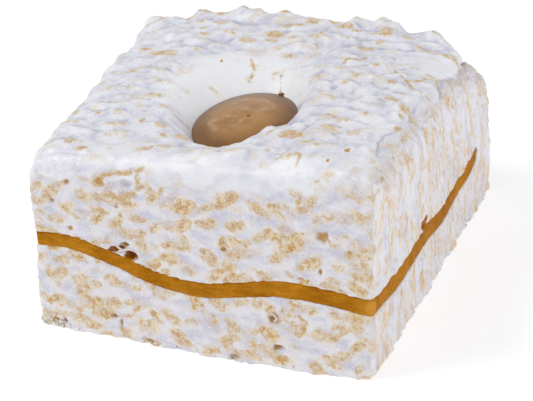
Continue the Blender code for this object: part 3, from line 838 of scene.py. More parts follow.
def fray_foot(points):
    """Fray the block's foot: torn in and out, and lifted off the board here and there."""
    flat = points * (1, 1, 0)
    low = smooth_step((FOOT_HEIGHT - points[:, 2]) / FOOT_HEIGHT) * smooth_step(2 - wall_depth(points) / MM)
    torn = lattice_noise(flat, 1.7 * MM, 71) + 0.6 * lattice_noise(flat, 1.0 * MM, 72)
    points += side_direction(points[:, 0], points[:, 1]) * (low * FOOT_FRAY * torn)[:, None]
    points[:, 2] += low * FOOT_FRAY * np.clip(lattice_noise(points * (1, 1, 0), 3.0 * MM, 73), 0, 1)


def finish_slab(obj, up, cut_of, block_rice, lumps=None):
    """What the slabs share: rough cut faces, thinned hidden faces, attributes and the real place."""
    points = read_points(obj)
    work_cut_faces(obj, cut_of(points), block_rice.nearest(points)[0])
    x, y, z = points.T
    inner = up * (z - layer_middle(x, y)) < bed_offset(x, y) + 1.0 * MM
    thin_hidden(obj, inner & (wall_depth(points) > 2.5 * MM))
    points = read_points(obj)
    cut = cut_of(points)
    grain, which = block_rice.nearest(points)
    in_spot = 1 - smooth_step(oval_radius(points[:, 0], points[:, 2], BARE_SPOT, BARE_REACH) - 0.5)
    grain += 3 * MM * in_spot * (points[:, 1] < 0)
    crest, rim = lumps.relief(points)[1:] if lumps else np.zeros((2, len(points)))
    hollow, basin = hollowness(obj)
    attributes = {
        "grain": grain / MM, "tone": block_rice.tones[which], "cut": cut, "crest": crest, "rim": rim,
        "hollow": hollow, "basin": basin, "edge_shade": edge_shade(points), "line": line_distance(points),
        # brown: how brown the pits are, partly painted shade in the deep ones
        "dot": dot_distance(points), "brown": press_pits(points.copy()) * cut,
        # film: how white the thick marshmallow is, partly painted light
        "film": film_cover(points)[1] * (1 - cut),
    }
    for name, values in attributes.items():
        obj.data.attributes.new(name, "FLOAT", "POINT").data.foreach_set("value", values.astype(np.float32))
    points += outward_swell(points)
    if not lumps:
        fray_foot(points)
    write_points(obj, to_real(points))
    obj.data.shade_smooth()


def cut_film_edge(obj):
    """Lower the surface past the draped film's edge, and swell the film just before it."""
    points = read_points(obj)
    past = past_film(points)
    high = smooth_step((points[:, 2] - HEIGHT + 7 * MM) / (3 * MM)) * film_edge_share(points)
    swollen = FILM_SWELL * np.exp(-((past / MM + 1.2) / 0.9) ** 2)
    step = FILM_STEP + FILM_BACK_STEP * near_back(points) * (1 - 0.8 * smooth_step(past / MM - 1.2))
    push_out(obj, high * (swollen - step * smooth_step((past + 0.2 * MM) / (0.6 * MM))))


def plan_of(piece, inset=0.0):
    """A cube's points as places on the plain block's plan, with rounded corners, and heights from -1 to 1."""
    x, y, z = read_points(piece).T
    share = 1 - inset / (WIDTH / 2)
    return (*round_plan(x * WIDTH / 2 * share, y * DEPTH / 2 * share, SIDE_CORNER), z)


def upper_slab(block_rice, lumps):
    slab = cube_in_cells("draped_rice_top", cells_for(HEIGHT / 2))
    x, y, level = plan_of(slab)
    low = layer_middle(x, y) + bed_offset(x, y)
    z = low + (HEIGHT - low) * (level + 1) / 2
    write_points(slab, np.stack([x, y, z], axis=1) + roll_over(x, y, z, HEIGHT)[0])
    remesh(slab, 4)
    cut_film_edge(slab)
    points = read_points(slab)
    group = slab.vertex_groups.new(name="thick_film")
    cover = film_cover(points)[0] * smooth_step((points[:, 2] - HEIGHT + 6 * MM) / (2 * MM))
    for index in np.nonzero(cover > 0.05)[0].tolist():
        group.add([index], cover[index], "REPLACE")
    apply_modifier(slab, "SMOOTH", factor=0.5, iterations=20, vertex_group="thick_film")

    def cut_of(points):
        """1 on the cut sides, fading out under the rolled rim, 0 on the top and on the inner face."""
        ragged = 1.6 * MM * lattice_noise(points, 3.0 * MM, 41)
        ragged += 0.6 * MM * lattice_noise(points, 1.2 * MM, 42)
        below = smooth_step((HEIGHT - TOP_ROLL + 1.5 * MM + ragged - points[:, 2]) / (1.6 * MM))
        beside = smooth_step(past_film(points) / (0.5 * MM)) * (points[:, 2] > HEIGHT - 2 * TOP_ROLL)
        return np.maximum(below, beside)

    raise_lumps(slab, lumps, cut_of)
    finish_slab(slab, 1, cut_of, block_rice, lumps)
    return slab


def lower_slab(block_rice):
    slab = cube_in_cells("rice_base_slab", cells_for(HEIGHT * 0.4))
    x, y, level = plan_of(slab)
    high = layer_middle(x, y) - bed_offset(x, y)
    write_points(slab, np.stack([x, y, high * (level + 1) / 2], axis=1))
    remesh(slab, 3)
    finish_slab(slab, -1, lambda points: np.ones(len(points)), block_rice)
    return slab


def caramel_band():
    band = cube_in_cells("caramel_band", (*cells_for(HEIGHT)[:2], 2))
    x, y, level = plan_of(band, LAYER_SUNK)
    z = layer_middle(x, y) + level * (LAYER_THICKNESS / 2 + layer_swell(x, y) + LAYER_BEDDED)
    write_points(band, np.stack([x, y, z], axis=1))
    bpy.ops.mesh.primitive_cylinder_add(vertices=48, radius=LAYER_SHORT, depth=HEIGHT,
                                        location=(WIDTH / 2, DEPTH / 2, HEIGHT / 3))
    cutter = bpy.context.object
    apply_modifier(band, "BOOLEAN", object=cutter, operation="DIFFERENCE", solver="EXACT")
    bpy.data.objects.remove(cutter, do_unlink=True)
    remesh(band, 4)
    points = read_points(band)
    push_out(band, LAYER_RIPPLE * lattice_noise(points, (2.2 * MM, 2.2 * MM, 5 * MM), 51))
    thin_hidden(band, wall_depth(points) > 3 * MM)
    points = read_points(band)
    write_points(band, to_real(points + outward_swell(points)))
    band.data.shade_smooth()
    return band


def pool_dome():
    bpy.ops.mesh.primitive_uv_sphere_add(segments=128, ring_count=64, radius=1.0)
    pool = bpy.context.object
    pool.name = pool.data.name = "caramel_pool_dome"
    grid = read_points(pool)
    across = np.hypot(grid[:, 0], grid[:, 1])
    bowl = -POOL_DEPTH * (1 - across ** 2)
    crown = POOL_CROWN * (1 - across ** 2)
    ripple = POOL_RIPPLE * lattice_noise(grid * 10 * MM, 5 * MM, 61) * (1 - across)
    points = np.stack([
        POOL_CENTRE[0] + grid[:, 0] * POOL_RADII[0] * POOL_SPREAD,
        POOL_CENTRE[1] + grid[:, 1] * POOL_RADII[1] * POOL_SPREAD,
        POOL_LEVEL + np.where(grid[:, 2] > 0, crown + ripple, bowl),
    ], axis=1)
    write_points(pool, points + STAND)
    pool.data.shade_smooth()
    return pool


# Crumbs: how many, and the range of their half lengths
FOOT_CRUMBS = 150
TOP_CRUMBS = 5
CRUMB_SIZE = (0.22 * MM, 0.65 * MM)
CRUMB_UNEVEN = 0.25
CRUMB_SIDES = (0.2, 0.45, 0.15, 0.2)        # shares of the foot crumbs at the back, front, right and left
CLUMPED = 0.7               # share of the front crumbs that lie in clumps
CLUMP_SPREAD = 0.04
CRUMB_OUT = (-0.7, 0.1)     # how far out from the foot they lie, in millimetres
CRUMB_CLUMPS = (-35.0, -31.0, -29.0, -20.0, -9.0, -7.0, 0.0)     # places along the front where they gather


def scattered_crumbs(places, draw):
    """Crumbs of uneven size, each turned its own way."""
    count = len(places)
    low, high = CRUMB_SIZE
    size = low + (high - low) * draw.uniform(0, 1, (count, 1)) ** 2.5
    radii = size * draw.uniform(0.6, 1.2, (count, 3))
    along = unit(draw.normal(size=(count, 3)))
    across = unit(np.cross(along, draw.normal(size=(count, 3))))
    return Grains(places, along, across, radii, np.ones(count))


def foot_crumbs():
    """Crumbs along the block's foot, where the knife met the board."""
    draw = np.random.default_rng(SEED + 2)
    along = draw.uniform(-1, 1, FOOT_CRUMBS)
    side = draw.choice(4, FOOT_CRUMBS, p=CRUMB_SIDES)
    gathered = draw.choice(CRUMB_CLUMPS, FOOT_CRUMBS) * MM / (WIDTH / 2)
    gathered = gathered + CLUMP_SPREAD * draw.normal(size=FOOT_CRUMBS)
    along = np.where((side == 1) & (draw.uniform(0, 1, FOOT_CRUMBS) < CLUMPED), gathered, along)
    out = 1 + draw.uniform(*CRUMB_OUT, FOOT_CRUMBS) * MM / (WIDTH / 2)
    x = np.choose(side, (along, along, out, -out)) * WIDTH / 2
    y = np.choose(side, (out, -out, along, along)) * DEPTH / 2
    x, y = round_plan(x, y, SIDE_CORNER)
    z = 0.3 * MM + 1.2 * MM * draw.uniform(0, 1, FOOT_CRUMBS) ** 2
    plain = np.stack([x, y, z], axis=1)
    return scattered_crumbs(to_real(plain + outward_swell(plain)), draw)


def surface_above(slab, x, y):
    """Where a line straight down through a place on the plain block's top meets the finished slab."""
    start = to_real(np.array([[x * MM, y * MM, HEIGHT]]))[0] + (0, 0, 20 * MM)
    found, place, normal, face = slab.ray_cast(Vector(start), Vector((0, 0, -1)))
    return np.array(place)


def top_crumbs(slab):
    """A few dark crumbs on the top, most of them near its back edge."""
    draw = np.random.default_rng(SEED + 3)
    across = draw.uniform(-36, 36, TOP_CRUMBS)
    back = 37 - 30 * draw.uniform(0, 1, TOP_CRUMBS) ** 3
    return scattered_crumbs(np.array([surface_above(slab, x, y) for x, y in zip(across, back)]), draw)


def crumb_piece(slab):
    crumbs = grain_bodies("rice_crumbs", foot_crumbs())
    join_into(crumbs, [grain_bodies("top_crumbs", top_crumbs(slab))])
    points = read_points(crumbs)
    ragged = np.stack([lattice_noise(points, 0.5 * MM, seed) for seed in (81, 82, 83)], axis=1)
    write_points(crumbs, points + CRUMB_UNEVEN * CRUMB_SIZE[1] * ragged)
    return crumbs


# Threads of marshmallow across two hollows in the front side, in millimetres: places along it, up, and in
THREADS = (
    ((-17.8, 19.9, 0.3), (-17.2, 20.5, 0.0), (-16.2, 20.9, -0.1), (-15.0, 21.2, -0.1), (-13.9, 21.0, 0.0),
     (-13.2, 20.4, 0.3)),
    ((-18.6, 22.3, 0.4), (-17.9, 21.7, 0.0), (-17.2, 21.2, -0.1), (-16.6, 20.8, 0.0)),
    ((16.2, 11.0, 0.2), (17.2, 11.3, -0.1), (18.0, 10.5, -0.1), (17.2, 9.7, 0.2)),
)
THREAD_RADIUS = 0.25 * MM


def marshmallow_threads():
    """Bent threads, each a curve with a round section."""
    threads = []
    for path in THREADS:
        plain = np.array([(x * MM, -DEPTH / 2 + depth * MM, z * MM) for x, z, depth in path])
        data = bpy.data.curves.new("marshmallow_thread", "CURVE")
        data.dimensions = "3D"
        data.bevel_depth = THREAD_RADIUS
        data.bevel_resolution = 3
        data.use_fill_caps = True
        spline = data.splines.new("POLY")
        spline.points.add(len(path) - 1)
        for point, place in zip(spline.points, to_real(plain + outward_swell(plain))):
            point.co = (*place, 1.0)
        pick_only(put_in_scene("marshmallow_thread", data))
        bpy.ops.object.convert(target="MESH")
        threads.append(bpy.context.object)
    whole = threads[0]
    whole.name = whole.data.name = "marshmallow_threads"
    join_into(whole, threads[1:])
    remesh(whole, 6, THREAD_VOXEL)
    whole.data.shade_smooth()
    return whole


# Flecks of caramel beside the pool: place on the top, and half length
FLECKS = ((2.2, 6.6, 0.8), (5.2, 3.2, 0.35))
FLECK_SHAPE = (1.0, 0.7, 0.45)


def caramel_flecks(slab):
    places = np.array([surface_above(slab, x, y) for x, y, size in FLECKS])
    radii = np.array([size for x, y, size in FLECKS])[:, None] * FLECK_SHAPE * MM
    along, across = (np.tile(way, (len(FLECKS), 1)) for way in ((1.0, 0.0, 0.0), (0.0, 1.0, 0.0)))
    flecks = grain_bodies("caramel_flecks", Grains(places, along, across, radii, np.ones(len(FLECKS))))
    flecks.data.shade_smooth()
    return flecks


def linear(red, green, blue):
    """A colour from its 0 to 255 screen values."""
    def open_up(value):
        value /= 255
        return value / 12.92 if value <= 0.04045 else ((value + 0.055) / 1.055) ** 2.4
    return (open_up(red), open_up(green), open_up(blue), 1.0)


MARSHMALLOW_WHITE = linear(242, 242, 248)
MARSHMALLOW_SHADE = linear(206, 205, 220)
CUT_WHITE = linear(238, 236, 240)
CUT_SHADE = linear(212, 211, 226)
STREAK_WHITE = linear(233, 236, 248)
CREASE_SHADE = linear(188, 188, 206)
# white of thick marshmallow, partly painted light, and of painted highlights on bumps
THICK_AND_LIT_WHITE = linear(253, 254, 255)
EDGE_SHADE = linear(176, 170, 184)
# white of the painted glints on the cut faces, and of the pale rings round the orange dots
GLINT_AND_RING_WHITE = linear(250, 250, 252)
THREAD_WHITE = linear(226, 218, 214)
RICE_CREAM = linear(236, 214, 170)
RICE_TAN = linear(211, 162, 84)
RICE_BROWN = linear(184, 126, 56)
GOLD_RIM = linear(210, 168, 90)
PATCH_CREAM = linear(230, 210, 174)
PATCH_GOLD = linear(202, 160, 94)
HALO_CREAM = linear(238, 226, 204)
DOT_ORANGE = linear(206, 154, 86)
PIT_OCHRE = linear(196, 150, 84)
# brown inside the deep hollows, partly painted shade
HOLLOW_BROWN_SHADE = linear(176, 100, 18)
BAND_CARAMEL = linear(208, 142, 36)
# darker caramel of the mottling, and painted shade where the band faces right
BAND_DARK_AND_SHADE = linear(162, 100, 10)
# painted highlight on the band's front right corner
BAND_CORNER_HIGHLIGHT = linear(222, 156, 66)
BAND_SPECK = linear(130, 76, 16)
POOL_LIGHT = linear(190, 142, 88)
POOL_DARK = linear(168, 122, 68)
# painted shade round the pool's low sides
POOL_SIDE_SHADE = linear(128, 88, 44)
# painted highlight of the pool's curls
POOL_CURL_HIGHLIGHT = linear(214, 186, 160)
CRUMB_TAN = linear(214, 194, 156)
CRUMB_DARK = linear(150, 128, 92)


class Tree:
    """A node tree under construction: most methods add one node and give its output."""

    def __init__(self, tree):
        self.tree = tree

    def add(self, kind, inputs=None, output=0, **settings):
        node = self.tree.nodes.new(kind)
        for name, value in settings.items():
            setattr(node, name, value)
        for name, value in (inputs or {}).items():
            self.feed(node.inputs[name], value)
        return node.outputs[output]

    def feed(self, socket, value):
        if isinstance(value, bpy.types.NodeSocket):
            self.tree.links.new(value, socket)
        else:
            socket.default_value = value

    def finish(self, inputs):
        """Link or set the inputs of a material's shader."""
        for name, value in inputs.items():
            self.feed(self.tree.nodes["Principled BSDF"].inputs[name], value)

    def stretch(self, place, scale):
        return self.add("ShaderNodeVectorMath", {0: place, 1: scale}, operation="MULTIPLY")

    def in_millimetres(self):
        return self.stretch(self.add("ShaderNodeTexCoord", output="Object"), (1 / MM,) * 3)

    def facing_right(self):
        """1 where the surface faces right, and -1 where it faces left."""
        facing = self.add("ShaderNodeTexCoord", output="Normal")
        return self.add("ShaderNodeSeparateXYZ", {0: facing}, output="X")

    def distance(self, place, other):
        return self.add("ShaderNodeVectorMath", {0: place, 1: other}, output=1, operation="DISTANCE")

    def bend(self, place, length, size):
        """The place, moved about by noise that differs in each direction."""
        values = self.add("ShaderNodeTexNoise", {"Vector": place, "Scale": 1 / length}, output="Color")
        shift = self.add("ShaderNodeVectorMath", {0: values, 1: (0.5,) * 3}, operation="SUBTRACT")
        shift = self.stretch(shift, (size,) * 3)
        return self.add("ShaderNodeVectorMath", {0: place, 1: shift}, operation="ADD")

    def noise(self, place, length, detail=2.0, roughness=0.5):
        return self.add("ShaderNodeTexNoise", {"Vector": place, "Scale": 1 / length, "Detail": detail,
                                               "Roughness": roughness})

    def maths(self, operation, first, second=0.0):
        return self.add("ShaderNodeMath", {0: first, 1: second}, operation=operation)

    def plus(self, first, second, share=1.0):
        """The first value and a share of the second."""
        return self.add("ShaderNodeMath", {0: second, 1: share, 2: first}, operation="MULTIPLY_ADD")

    def minus(self, first, second):
        return self.maths("SUBTRACT", first, second)

    def times(self, product, *factors):
        for factor in factors:
            product = self.maths("MULTIPLY", product, factor)
        return product

    def between(self, value, low, high):
        """0 below low and 1 above high, or the other way round where low is the larger, smoothly between."""
        return self.add("ShaderNodeMapRange", {"Value": value, "From Min": low, "From Max": high},
                        interpolation_type="SMOOTHSTEP")

    def patches(self, place, length, low, high, detail=2.0, roughness=0.5):
        """Soft-edged patches of noise: 1 where it is above high, and 0 where it is below low."""
        return self.between(self.noise(place, length, detail, roughness), low, high)

    def blend(self, share, first, second):
        return self.add("ShaderNodeMix", {0: share, 6: first, 7: second}, output=2, data_type="RGBA")

    def paint(self, under, over, *shares):
        """One colour laid over another, as far as the product of the shares goes."""
        return self.blend(self.times(*shares), under, over)

    def lerp(self, share, first, second):
        return self.add("ShaderNodeMix", {0: share, 2: first, 3: second}, output=0, data_type="FLOAT")

    def blend_places(self, share, first, second):
        return self.add("ShaderNodeMix", {0: share, 4: first, 5: second}, output=1, data_type="VECTOR")

    def bump(self, height, strength, depth):
        return self.add("ShaderNodeBump", {"Height": height, "Strength": strength, "Distance": depth})


RICE_ATTRIBUTES = ("grain", "tone", "cut", "crest", "rim", "hollow", "basin", "edge_shade", "line", "dot",
                   "brown", "film")


def cut_rice(t, given, place):
    """Cut grains: pale inside with tan blobs and brown specks, a broken gold skin, smeared over in places,
    drawn out upright on the left and right sides, where the knife went through last."""
    side = t.between(t.maths("ABSOLUTE", t.facing_right()), 0.5, 0.85)
    spot = t.blend_places(side, place, t.stretch(place, (1.0, 1.0, 0.42)))
    upright = t.stretch(place, (1.0, 1.0, 0.25))
    spread = t.blend_places(side, t.stretch(place, (0.7, 0.7, 1.3)), upright)
    # cut marshmallow, with painted cool shade in soft patches
    marshmallow = t.blend(t.patches(spread, 3.0, 0.4, 0.68, 3.0, 0.55), CUT_WHITE, CUT_SHADE)

    # Distance from the grains' skins, made crumbly, and how bare of smeared marshmallow each place is
    warp = t.minus(t.noise(spot, 1.7, 4.0, 0.6), 0.5)
    crumbly = t.minus(t.noise(spot, 0.8, 4.0, 0.7), 0.5)
    edge = t.plus(t.plus(given["grain"], warp, 2.2), crumbly, 3.0)
    zones = t.times(t.minus(0.48, t.noise(spot, 4.6, 5.0, 0.6)), 10.0)
    edge = t.lerp(t.times(side, 0.85), edge, zones)
    smear = t.maths("MAXIMUM", t.patches(spot, 4.5, 0.5, 0.64, 3.0, 0.6), t.times(side, 0.25))
    bare = t.minus(1.0, t.times(smear, 0.7))

    body = t.times(t.between(edge, 0.8, -0.6), bare)
    colour = t.blend(t.times(body, t.lerp(given["tone"], 0.7, 1.0)), marshmallow, RICE_CREAM)
    blob = t.between(t.noise(spot, 1.3, 4.0, 0.7), t.lerp(side, 0.43, 0.5), t.lerp(side, 0.58, 0.66))
    blob = t.times(blob, t.between(edge, 0.2, -0.9), bare)
    colour = t.paint(colour, RICE_TAN, blob, t.lerp(given["tone"], 0.4, 1.0))
    outline = t.plus(t.plus(given["grain"], warp), 0.1)
    skin = t.times(t.between(t.maths("ABSOLUTE", outline), 0.3, 0.05), bare)
    skin = t.times(skin, t.patches(spot, 1.8, 0.46, 0.6), t.lerp(side, 0.55, 0.15))
    colour = t.paint(colour, GOLD_RIM, skin)
    speck = t.patches(spot, 0.7, 0.5, 0.62, 3.0, 0.7)
    colour = t.paint(colour, RICE_BROWN, speck, blob, 0.65)

    # Streaks down the left and right sides
    streak = t.patches(upright, 1.9, 0.5, 0.6, 3.0, 0.6)
    colour = t.paint(colour, marshmallow, streak, side, 0.65)
    fine = t.noise(upright, 1.1, 4.0, 0.65)
    colour = t.paint(colour, RICE_TAN, t.between(fine, 0.5, 0.4), side, t.lerp(body, 0.1, 0.5))
    colour = t.paint(colour, STREAK_WHITE, t.between(fine, 0.5, 0.58), side, 0.75)

    # painted glints: small white highlights on the wet cut faces
    painted_glint = t.patches(spot, 0.45, 0.53, 0.65, 3.0, 0.7)
    colour = t.paint(colour, GLINT_AND_RING_WHITE, painted_glint, t.lerp(side, 0.65, 0.35))
    # painted shade: tan deepens in the hollows of the cut faces
    colour = t.paint(colour, RICE_TAN, t.between(given["hollow"], 0.1, 0.4), 0.25)
    return colour, body, blob


def draped_rice(t, given, place, soft):
    """Marshmallow draped over grains: painted cool shade in the creases, the basins and soft patches,
    painted highlights on the bumps, and a soft toasted patch on each crest.
    """
    # painted cool shade in soft patches, small and broad
    shade = t.times(t.patches(place, 3.0, 0.45, 0.7, 3.0), 0.55)
    shade = t.plus(shade, t.patches(place, 9.0, 0.45, 0.65, 2.0), 0.28)
    # thick marshmallow is whiter, partly painted light where the top faces the lamps
    colour = t.blend(given["film"], MARSHMALLOW_WHITE, THICK_AND_LIT_WHITE)
    colour = t.paint(colour, MARSHMALLOW_SHADE, shade, t.lerp(given["film"], 1.0, 0.05))

    broken = t.lerp(t.patches(place, 4.0, 0.4, 0.6, 3.0), 0.1, 0.8)
    crease = t.between(t.plus(given["hollow"], soft, 0.12), 0.02, 0.24)
    colour = t.paint(colour, CREASE_SHADE, crease, broken)
    # painted highlight on the bumps that stand proud of the surface round them
    proud = t.between(t.plus(given["hollow"], soft, 0.1), -0.05, -0.2)
    colour = t.paint(colour, THICK_AND_LIT_WHITE, proud, 0.6)
    # painted broad shade in the basins of the surface
    basin = t.between(t.plus(given["basin"], soft, 0.5), 0.0, 0.8)
    colour = t.paint(colour, CREASE_SHADE, basin, 0.45)

    uneven_crest = t.plus(soft, t.minus(t.noise(place, 2.2), 0.5))
    near_patch = t.between(given["crest"], 0.0, 0.3)
    crest = t.plus(given["crest"], t.times(uneven_crest, near_patch), 1.5)
    warm = t.patches(place, 4.0, 0.54, 0.66, 3.0, 0.6)
    colour = t.paint(colour, HALO_CREAM, warm, t.lerp(given["film"], 0.6, 0.0))
    colour = t.paint(colour, PATCH_CREAM, t.between(crest, -0.05, 1.0), 0.95)
    ring = t.times(t.between(crest, 0.35, 0.8), t.between(crest, 1.4, 0.9))
    gold = t.patches(place, 1.5, 0.42, 0.62, 3.0, 0.6)
    colour = t.paint(colour, PATCH_GOLD, ring, gold, 0.75)
    rim = t.between(t.plus(given["rim"], soft, 0.8), 0.25, 0.8)
    colour = t.paint(colour, GOLD_RIM, rim, t.patches(place, 2.0, 0.4, 0.55), 0.7)
    # fine specks of painted shade, fewer where the marshmallow is thick
    grainy = t.patches(place, 0.45, 0.5, 0.7, 2.0, 0.6)
    return t.paint(colour, CREASE_SHADE, grainy, t.lerp(given["film"], 0.25, 0.0))


def with_marks(t, given, place, soft, colour):
    """Gold lines, ringed dots, shade at the film's edge, and brown hollows darkened with painted shade."""
    line = t.between(t.plus(given["line"], soft, 1.2), 0.45, 0.05)
    colour = t.paint(colour, GOLD_RIM, line, t.patches(place, 1.8, 0.36, 0.5), 0.85)
    colour = t.paint(colour, GLINT_AND_RING_WHITE, t.between(given["dot"], 1.5, 1.0), 0.6)
    colour = t.paint(colour, DOT_ORANGE, t.between(t.plus(given["dot"], soft), 0.7, 0.4))
    edge = t.between(t.plus(given["edge_shade"], soft, 0.8), 0.45, 1.0)
    colour = t.paint(colour, EDGE_SHADE, edge, 0.4)
    brown = t.plus(given["brown"], soft, 0.35)
    colour = t.paint(colour, PIT_OCHRE, t.between(brown, 0.05, 0.25))
    # painted shade: the deepest hollows darkest brown
    return t.paint(colour, HOLLOW_BROWN_SHADE, t.between(brown, 0.25, 0.6))


def rice_pattern():
    """Node group: the colours, with painted shade and highlights, and fine relief of puffed rice in
    marshmallow.
    """
    group = bpy.data.node_groups.new("rice_in_marshmallow", "ShaderNodeTree")
    for name in RICE_ATTRIBUTES:
        group.interface.new_socket(name, in_out="INPUT", socket_type="NodeSocketFloat")
    for name, kind in (("Color", "Color"), ("Roughness", "Float"), ("Height", "Float")):
        group.interface.new_socket(name, in_out="OUTPUT", socket_type="NodeSocket" + kind)
    given = group.nodes.new("NodeGroupInput").outputs
    made = group.nodes.new("NodeGroupOutput").inputs
    t = Tree(group)
    place = t.in_millimetres()
    soft = t.minus(t.noise(place, 0.9, 4.0, 0.65), 0.5)
    cut_colour, body, blob = cut_rice(t, given, place)
    colour = t.blend(given["cut"], draped_rice(t, given, place, soft), cut_colour)
    t.feed(made["Color"], with_marks(t, given, place, soft, colour))
    t.feed(made["Roughness"], t.lerp(t.times(given["cut"], body), 0.36, 0.7))
    fine = t.times(t.noise(place, 0.6, 3.0, 0.6), 0.6)
    t.feed(made["Height"], t.minus(fine, t.times(blob, given["cut"], 0.8)))
    return group


def new_material(name):
    material = bpy.data.materials.new(name)
    material.use_nodes = True
    return material, Tree(material.node_tree)


def rice_material():
    material, t = new_material("marshmallow_rice_look")
    painted = t.tree.nodes.new("ShaderNodeGroup")
    painted.node_tree = rice_pattern()
    for name in RICE_ATTRIBUTES:
        t.feed(painted.inputs[name], t.add("ShaderNodeAttribute", output="Fac", attribute_name=name))
    colour, roughness, height = painted.outputs
    t.finish({"Base Color": colour, "Roughness": roughness, "Normal": t.bump(height, 0.5, 0.2 * MM),
              "Subsurface Weight": 0.25, "Subsurface Radius": (1.0, 0.9, 0.8), "Subsurface Scale": 1.0 * MM})
    return material


def band_material():
    """Cut caramel: streaked along the cut, with a few dark specks, painted shade where it faces right,
    and a painted highlight on the front right corner.
    """
    material, t = new_material("cut_caramel_look")
    place = t.in_millimetres()
    drawn = t.stretch(place, (0.3, 0.3, 1.6))
    grainy = t.patches(place, 0.6, 0.3, 0.7, 3.0, 0.6)
    mottled_and_shaded = t.times(t.patches(place, 9.0, 0.35, 0.65, 2.0), 0.45)
    mottled_and_shaded = t.plus(mottled_and_shaded, t.patches(drawn, 0.9, 0.3, 0.7, 3.0, 0.6), 0.4)
    mottled_and_shaded = t.plus(mottled_and_shaded, grainy, 0.25)
    # painted shade: darker where the band faces right
    mottled_and_shaded = t.plus(mottled_and_shaded, t.between(t.facing_right(), 0.6, 0.9), 0.2)
    colour = t.blend(mottled_and_shaded, BAND_CARAMEL, BAND_DARK_AND_SHADE)
    corner = tuple(to_real(np.array([[WIDTH / 2, -DEPTH / 2, LAYER_FRONT[-1] * MM]]))[0] / MM)
    # painted highlight along the front right corner
    colour = t.paint(colour, BAND_CORNER_HIGHLIGHT, t.between(t.distance(place, corner), 2.2, 1.2), 0.7)
    speck = t.patches(drawn, 0.5, 0.66, 0.72, 2.0, 0.6)
    t.finish({"Base Color": t.paint(colour, BAND_SPECK, speck, 0.7),
              "Roughness": t.lerp(grainy, 0.42, 0.58), "Specular IOR Level": 0.02,
              "Normal": t.bump(t.noise(place, 0.9, 3.0), 0.25, 0.15 * MM)})
    return material


def pool_material():
    """Poured caramel: smooth, with painted shade round its low sides, and pale painted highlights
    in slow curls where it was stirred.
    """
    material, t = new_material("pool_caramel_look")
    place = t.in_millimetres()
    cloud = t.patches(place, 6.0, 0.35, 0.65, 2.0)
    colour = t.blend(cloud, POOL_LIGHT, POOL_DARK)
    rise = t.plus(t.add("ShaderNodeSeparateXYZ", {0: place}, output="Z"), t.minus(cloud, 0.5), 0.4)
    level = (POOL_LEVEL + STAND[2]) / MM
    # painted shade round the pool's low sides
    colour = t.paint(colour, POOL_SIDE_SHADE, t.between(rise, level + 1.8, level + 0.4))
    bent = t.bend(place, 5.0, 5.0)
    broken = t.patches(bent, 1.8, 0.35, 0.75, 3.0, 0.6)
    # pale painted highlights along slow curls
    for middle, radius in POOL_CURLS:
        away = t.minus(t.distance(bent, tuple(middle + STAND / MM)), radius)
        curl_highlight = t.between(t.maths("ABSOLUTE", away), 1.7, 0.0)
        colour = t.paint(colour, POOL_CURL_HIGHLIGHT, curl_highlight, broken, 0.6)
    speck = t.between(t.distance(place, tuple(POOL_SPECK + STAND / MM)), 0.7, 0.3)
    t.finish({"Base Color": t.paint(colour, BAND_SPECK, speck), "Roughness": 0.3, "Specular IOR Level": 0.35,
              "Normal": t.bump(t.noise(place, 3.0, 2.0), 0.2, 0.3 * MM)})
    return material


def thread_material():
    material, t = new_material("marshmallow_thread_look")
    t.finish({"Base Color": THREAD_WHITE, "Roughness": 0.4})
    return material


def crumb_material():
    material, t = new_material("rice_crumb_look")
    place = t.in_millimetres()
    colour = t.blend(t.patches(place, 1.6, 0.4, 0.6, 3.0), MARSHMALLOW_WHITE, CRUMB_TAN)
    colour = t.paint(colour, CRUMB_DARK, t.patches(place, 0.8, 0.58, 0.68, 3.0))
    t.finish({"Base Color": colour, "Roughness": 0.7})
    return material


def dress(piece, material, node=None):
    """Give a piece its material and its place in the frame."""
    piece.data.materials.clear()
    piece.data.materials.append(material)
    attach(piece, "root")
    if node:
        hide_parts(node)


# Camera, in the block's own frame, and the photograph's frame in pixels
CAMERA_AZIMUTH = math.radians(22.86)
CAMERA_ELEVATION = math.radians(28.96)
CAMERA_ROLL = math.radians(-5.03)
CAMERA_PLACE = (111.4 * MM, -264.7 * MM, 172.3 * MM)
CAMERA_FOCAL = 1500
IMAGE_WIDTH = 533
SENSOR_WIDTH = 36


def place_camera():
    back = Vector((math.sin(CAMERA_AZIMUTH) * math.cos(CAMERA_ELEVATION),
                   -math.cos(CAMERA_AZIMUTH) * math.cos(CAMERA_ELEVATION), math.sin(CAMERA_ELEVATION)))
    level = Vector((math.cos(CAMERA_AZIMUTH), math.sin(CAMERA_AZIMUTH), 0.0))
    upward = back.cross(level)
    right = math.cos(CAMERA_ROLL) * level + math.sin(CAMERA_ROLL) * upward
    up = -math.sin(CAMERA_ROLL) * level + math.cos(CAMERA_ROLL) * upward
    data = bpy.data.cameras.new("camera")
    data.sensor_width = SENSOR_WIDTH
    data.lens = CAMERA_FOCAL / IMAGE_WIDTH * SENSOR_WIDTH
    data.clip_start, data.clip_end = 0.01, 10.0
    camera = put_in_scene("camera", data)
    turn = Matrix((right, up, back)).transposed().to_4x4()
    camera.matrix_world = Matrix.Translation(Vector(CAMERA_PLACE) + Vector(STAND)) @ turn
    bpy.context.scene.camera = camera


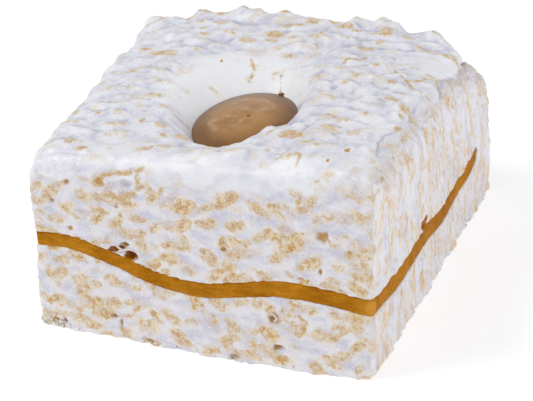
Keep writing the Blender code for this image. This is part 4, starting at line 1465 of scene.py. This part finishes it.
SKY_STRENGTH = 0.57
SKY_TINT = (0.95, 0.96, 1.0, 1.0)
WHITE = (1.0, 1.0, 1.0, 1.0)
FLOOR_GLOW = (0.16, 0.3)        # of the floor as it lights the block, and as the camera sees it
LIGHTS = (                  # name, place, width of the square lamp, power and colour
    ("key_light", (-0.38, -0.16, 0.58), 0.25, 1.5, (1.0, 0.99, 0.98)),
    ("side_light", (0.6, -0.1, 0.3), 0.3, 0.8, (1.0, 1.0, 1.0)),
)
LIT_PLACE = Vector((0, 0, 0.02))


def light_the_scene():
    world = bpy.data.worlds.new("studio")
    world.use_nodes = True
    t = Tree(world.node_tree)
    sky = world.node_tree.nodes["Background"]
    seen = t.add("ShaderNodeLightPath", output="Is Camera Ray")
    t.feed(sky.inputs["Color"], t.blend(seen, SKY_TINT, WHITE))
    t.feed(sky.inputs["Strength"], t.lerp(seen, SKY_STRENGTH, 1.0))
    bpy.context.scene.world = world
    for name, place, width, power, colour in LIGHTS:
        data = bpy.data.lights.new(name, "AREA")
        data.shape = "RECTANGLE"
        data.size = data.size_y = width
        data.energy = power
        data.color = colour
        light = put_in_scene(name, data)
        light.location = place
        light.rotation_mode = "QUATERNION"
        light.rotation_quaternion = (LIT_PLACE - Vector(place)).to_track_quat("-Z", "Y")
    bpy.context.scene.view_settings.view_transform = "Standard"


def lay_floor():
    bpy.ops.mesh.primitive_plane_add(size=8.0)
    floor = bpy.context.object
    floor.name = "floor"
    material, t = new_material("pale_floor")
    seen = t.add("ShaderNodeLightPath", output="Is Camera Ray")
    t.finish({"Base Color": (0.98, 0.98, 0.98, 1.0), "Roughness": 0.9, "Emission Color": WHITE,
              "Emission Strength": t.lerp(seen, *FLOOR_GLOW)})
    floor.data.materials.append(material)


def main():
    block_rice = rice_in_block()
    rice_look = rice_material()
    top = upper_slab(block_rice, rice_on_top())
    dress(top, rice_look, "rice_top")
    dress(lower_slab(block_rice), rice_look, "rice_base")
    dress(caramel_band(), band_material(), "caramel_layer")
    pool_look = pool_material()
    dress(pool_dome(), pool_look, "caramel_pool")
    dress(crumb_piece(top), crumb_material())
    dress(marshmallow_threads(), thread_material())
    dress(caramel_flecks(top), pool_look)
    lay_floor()
    light_the_scene()
    place_camera()


main()
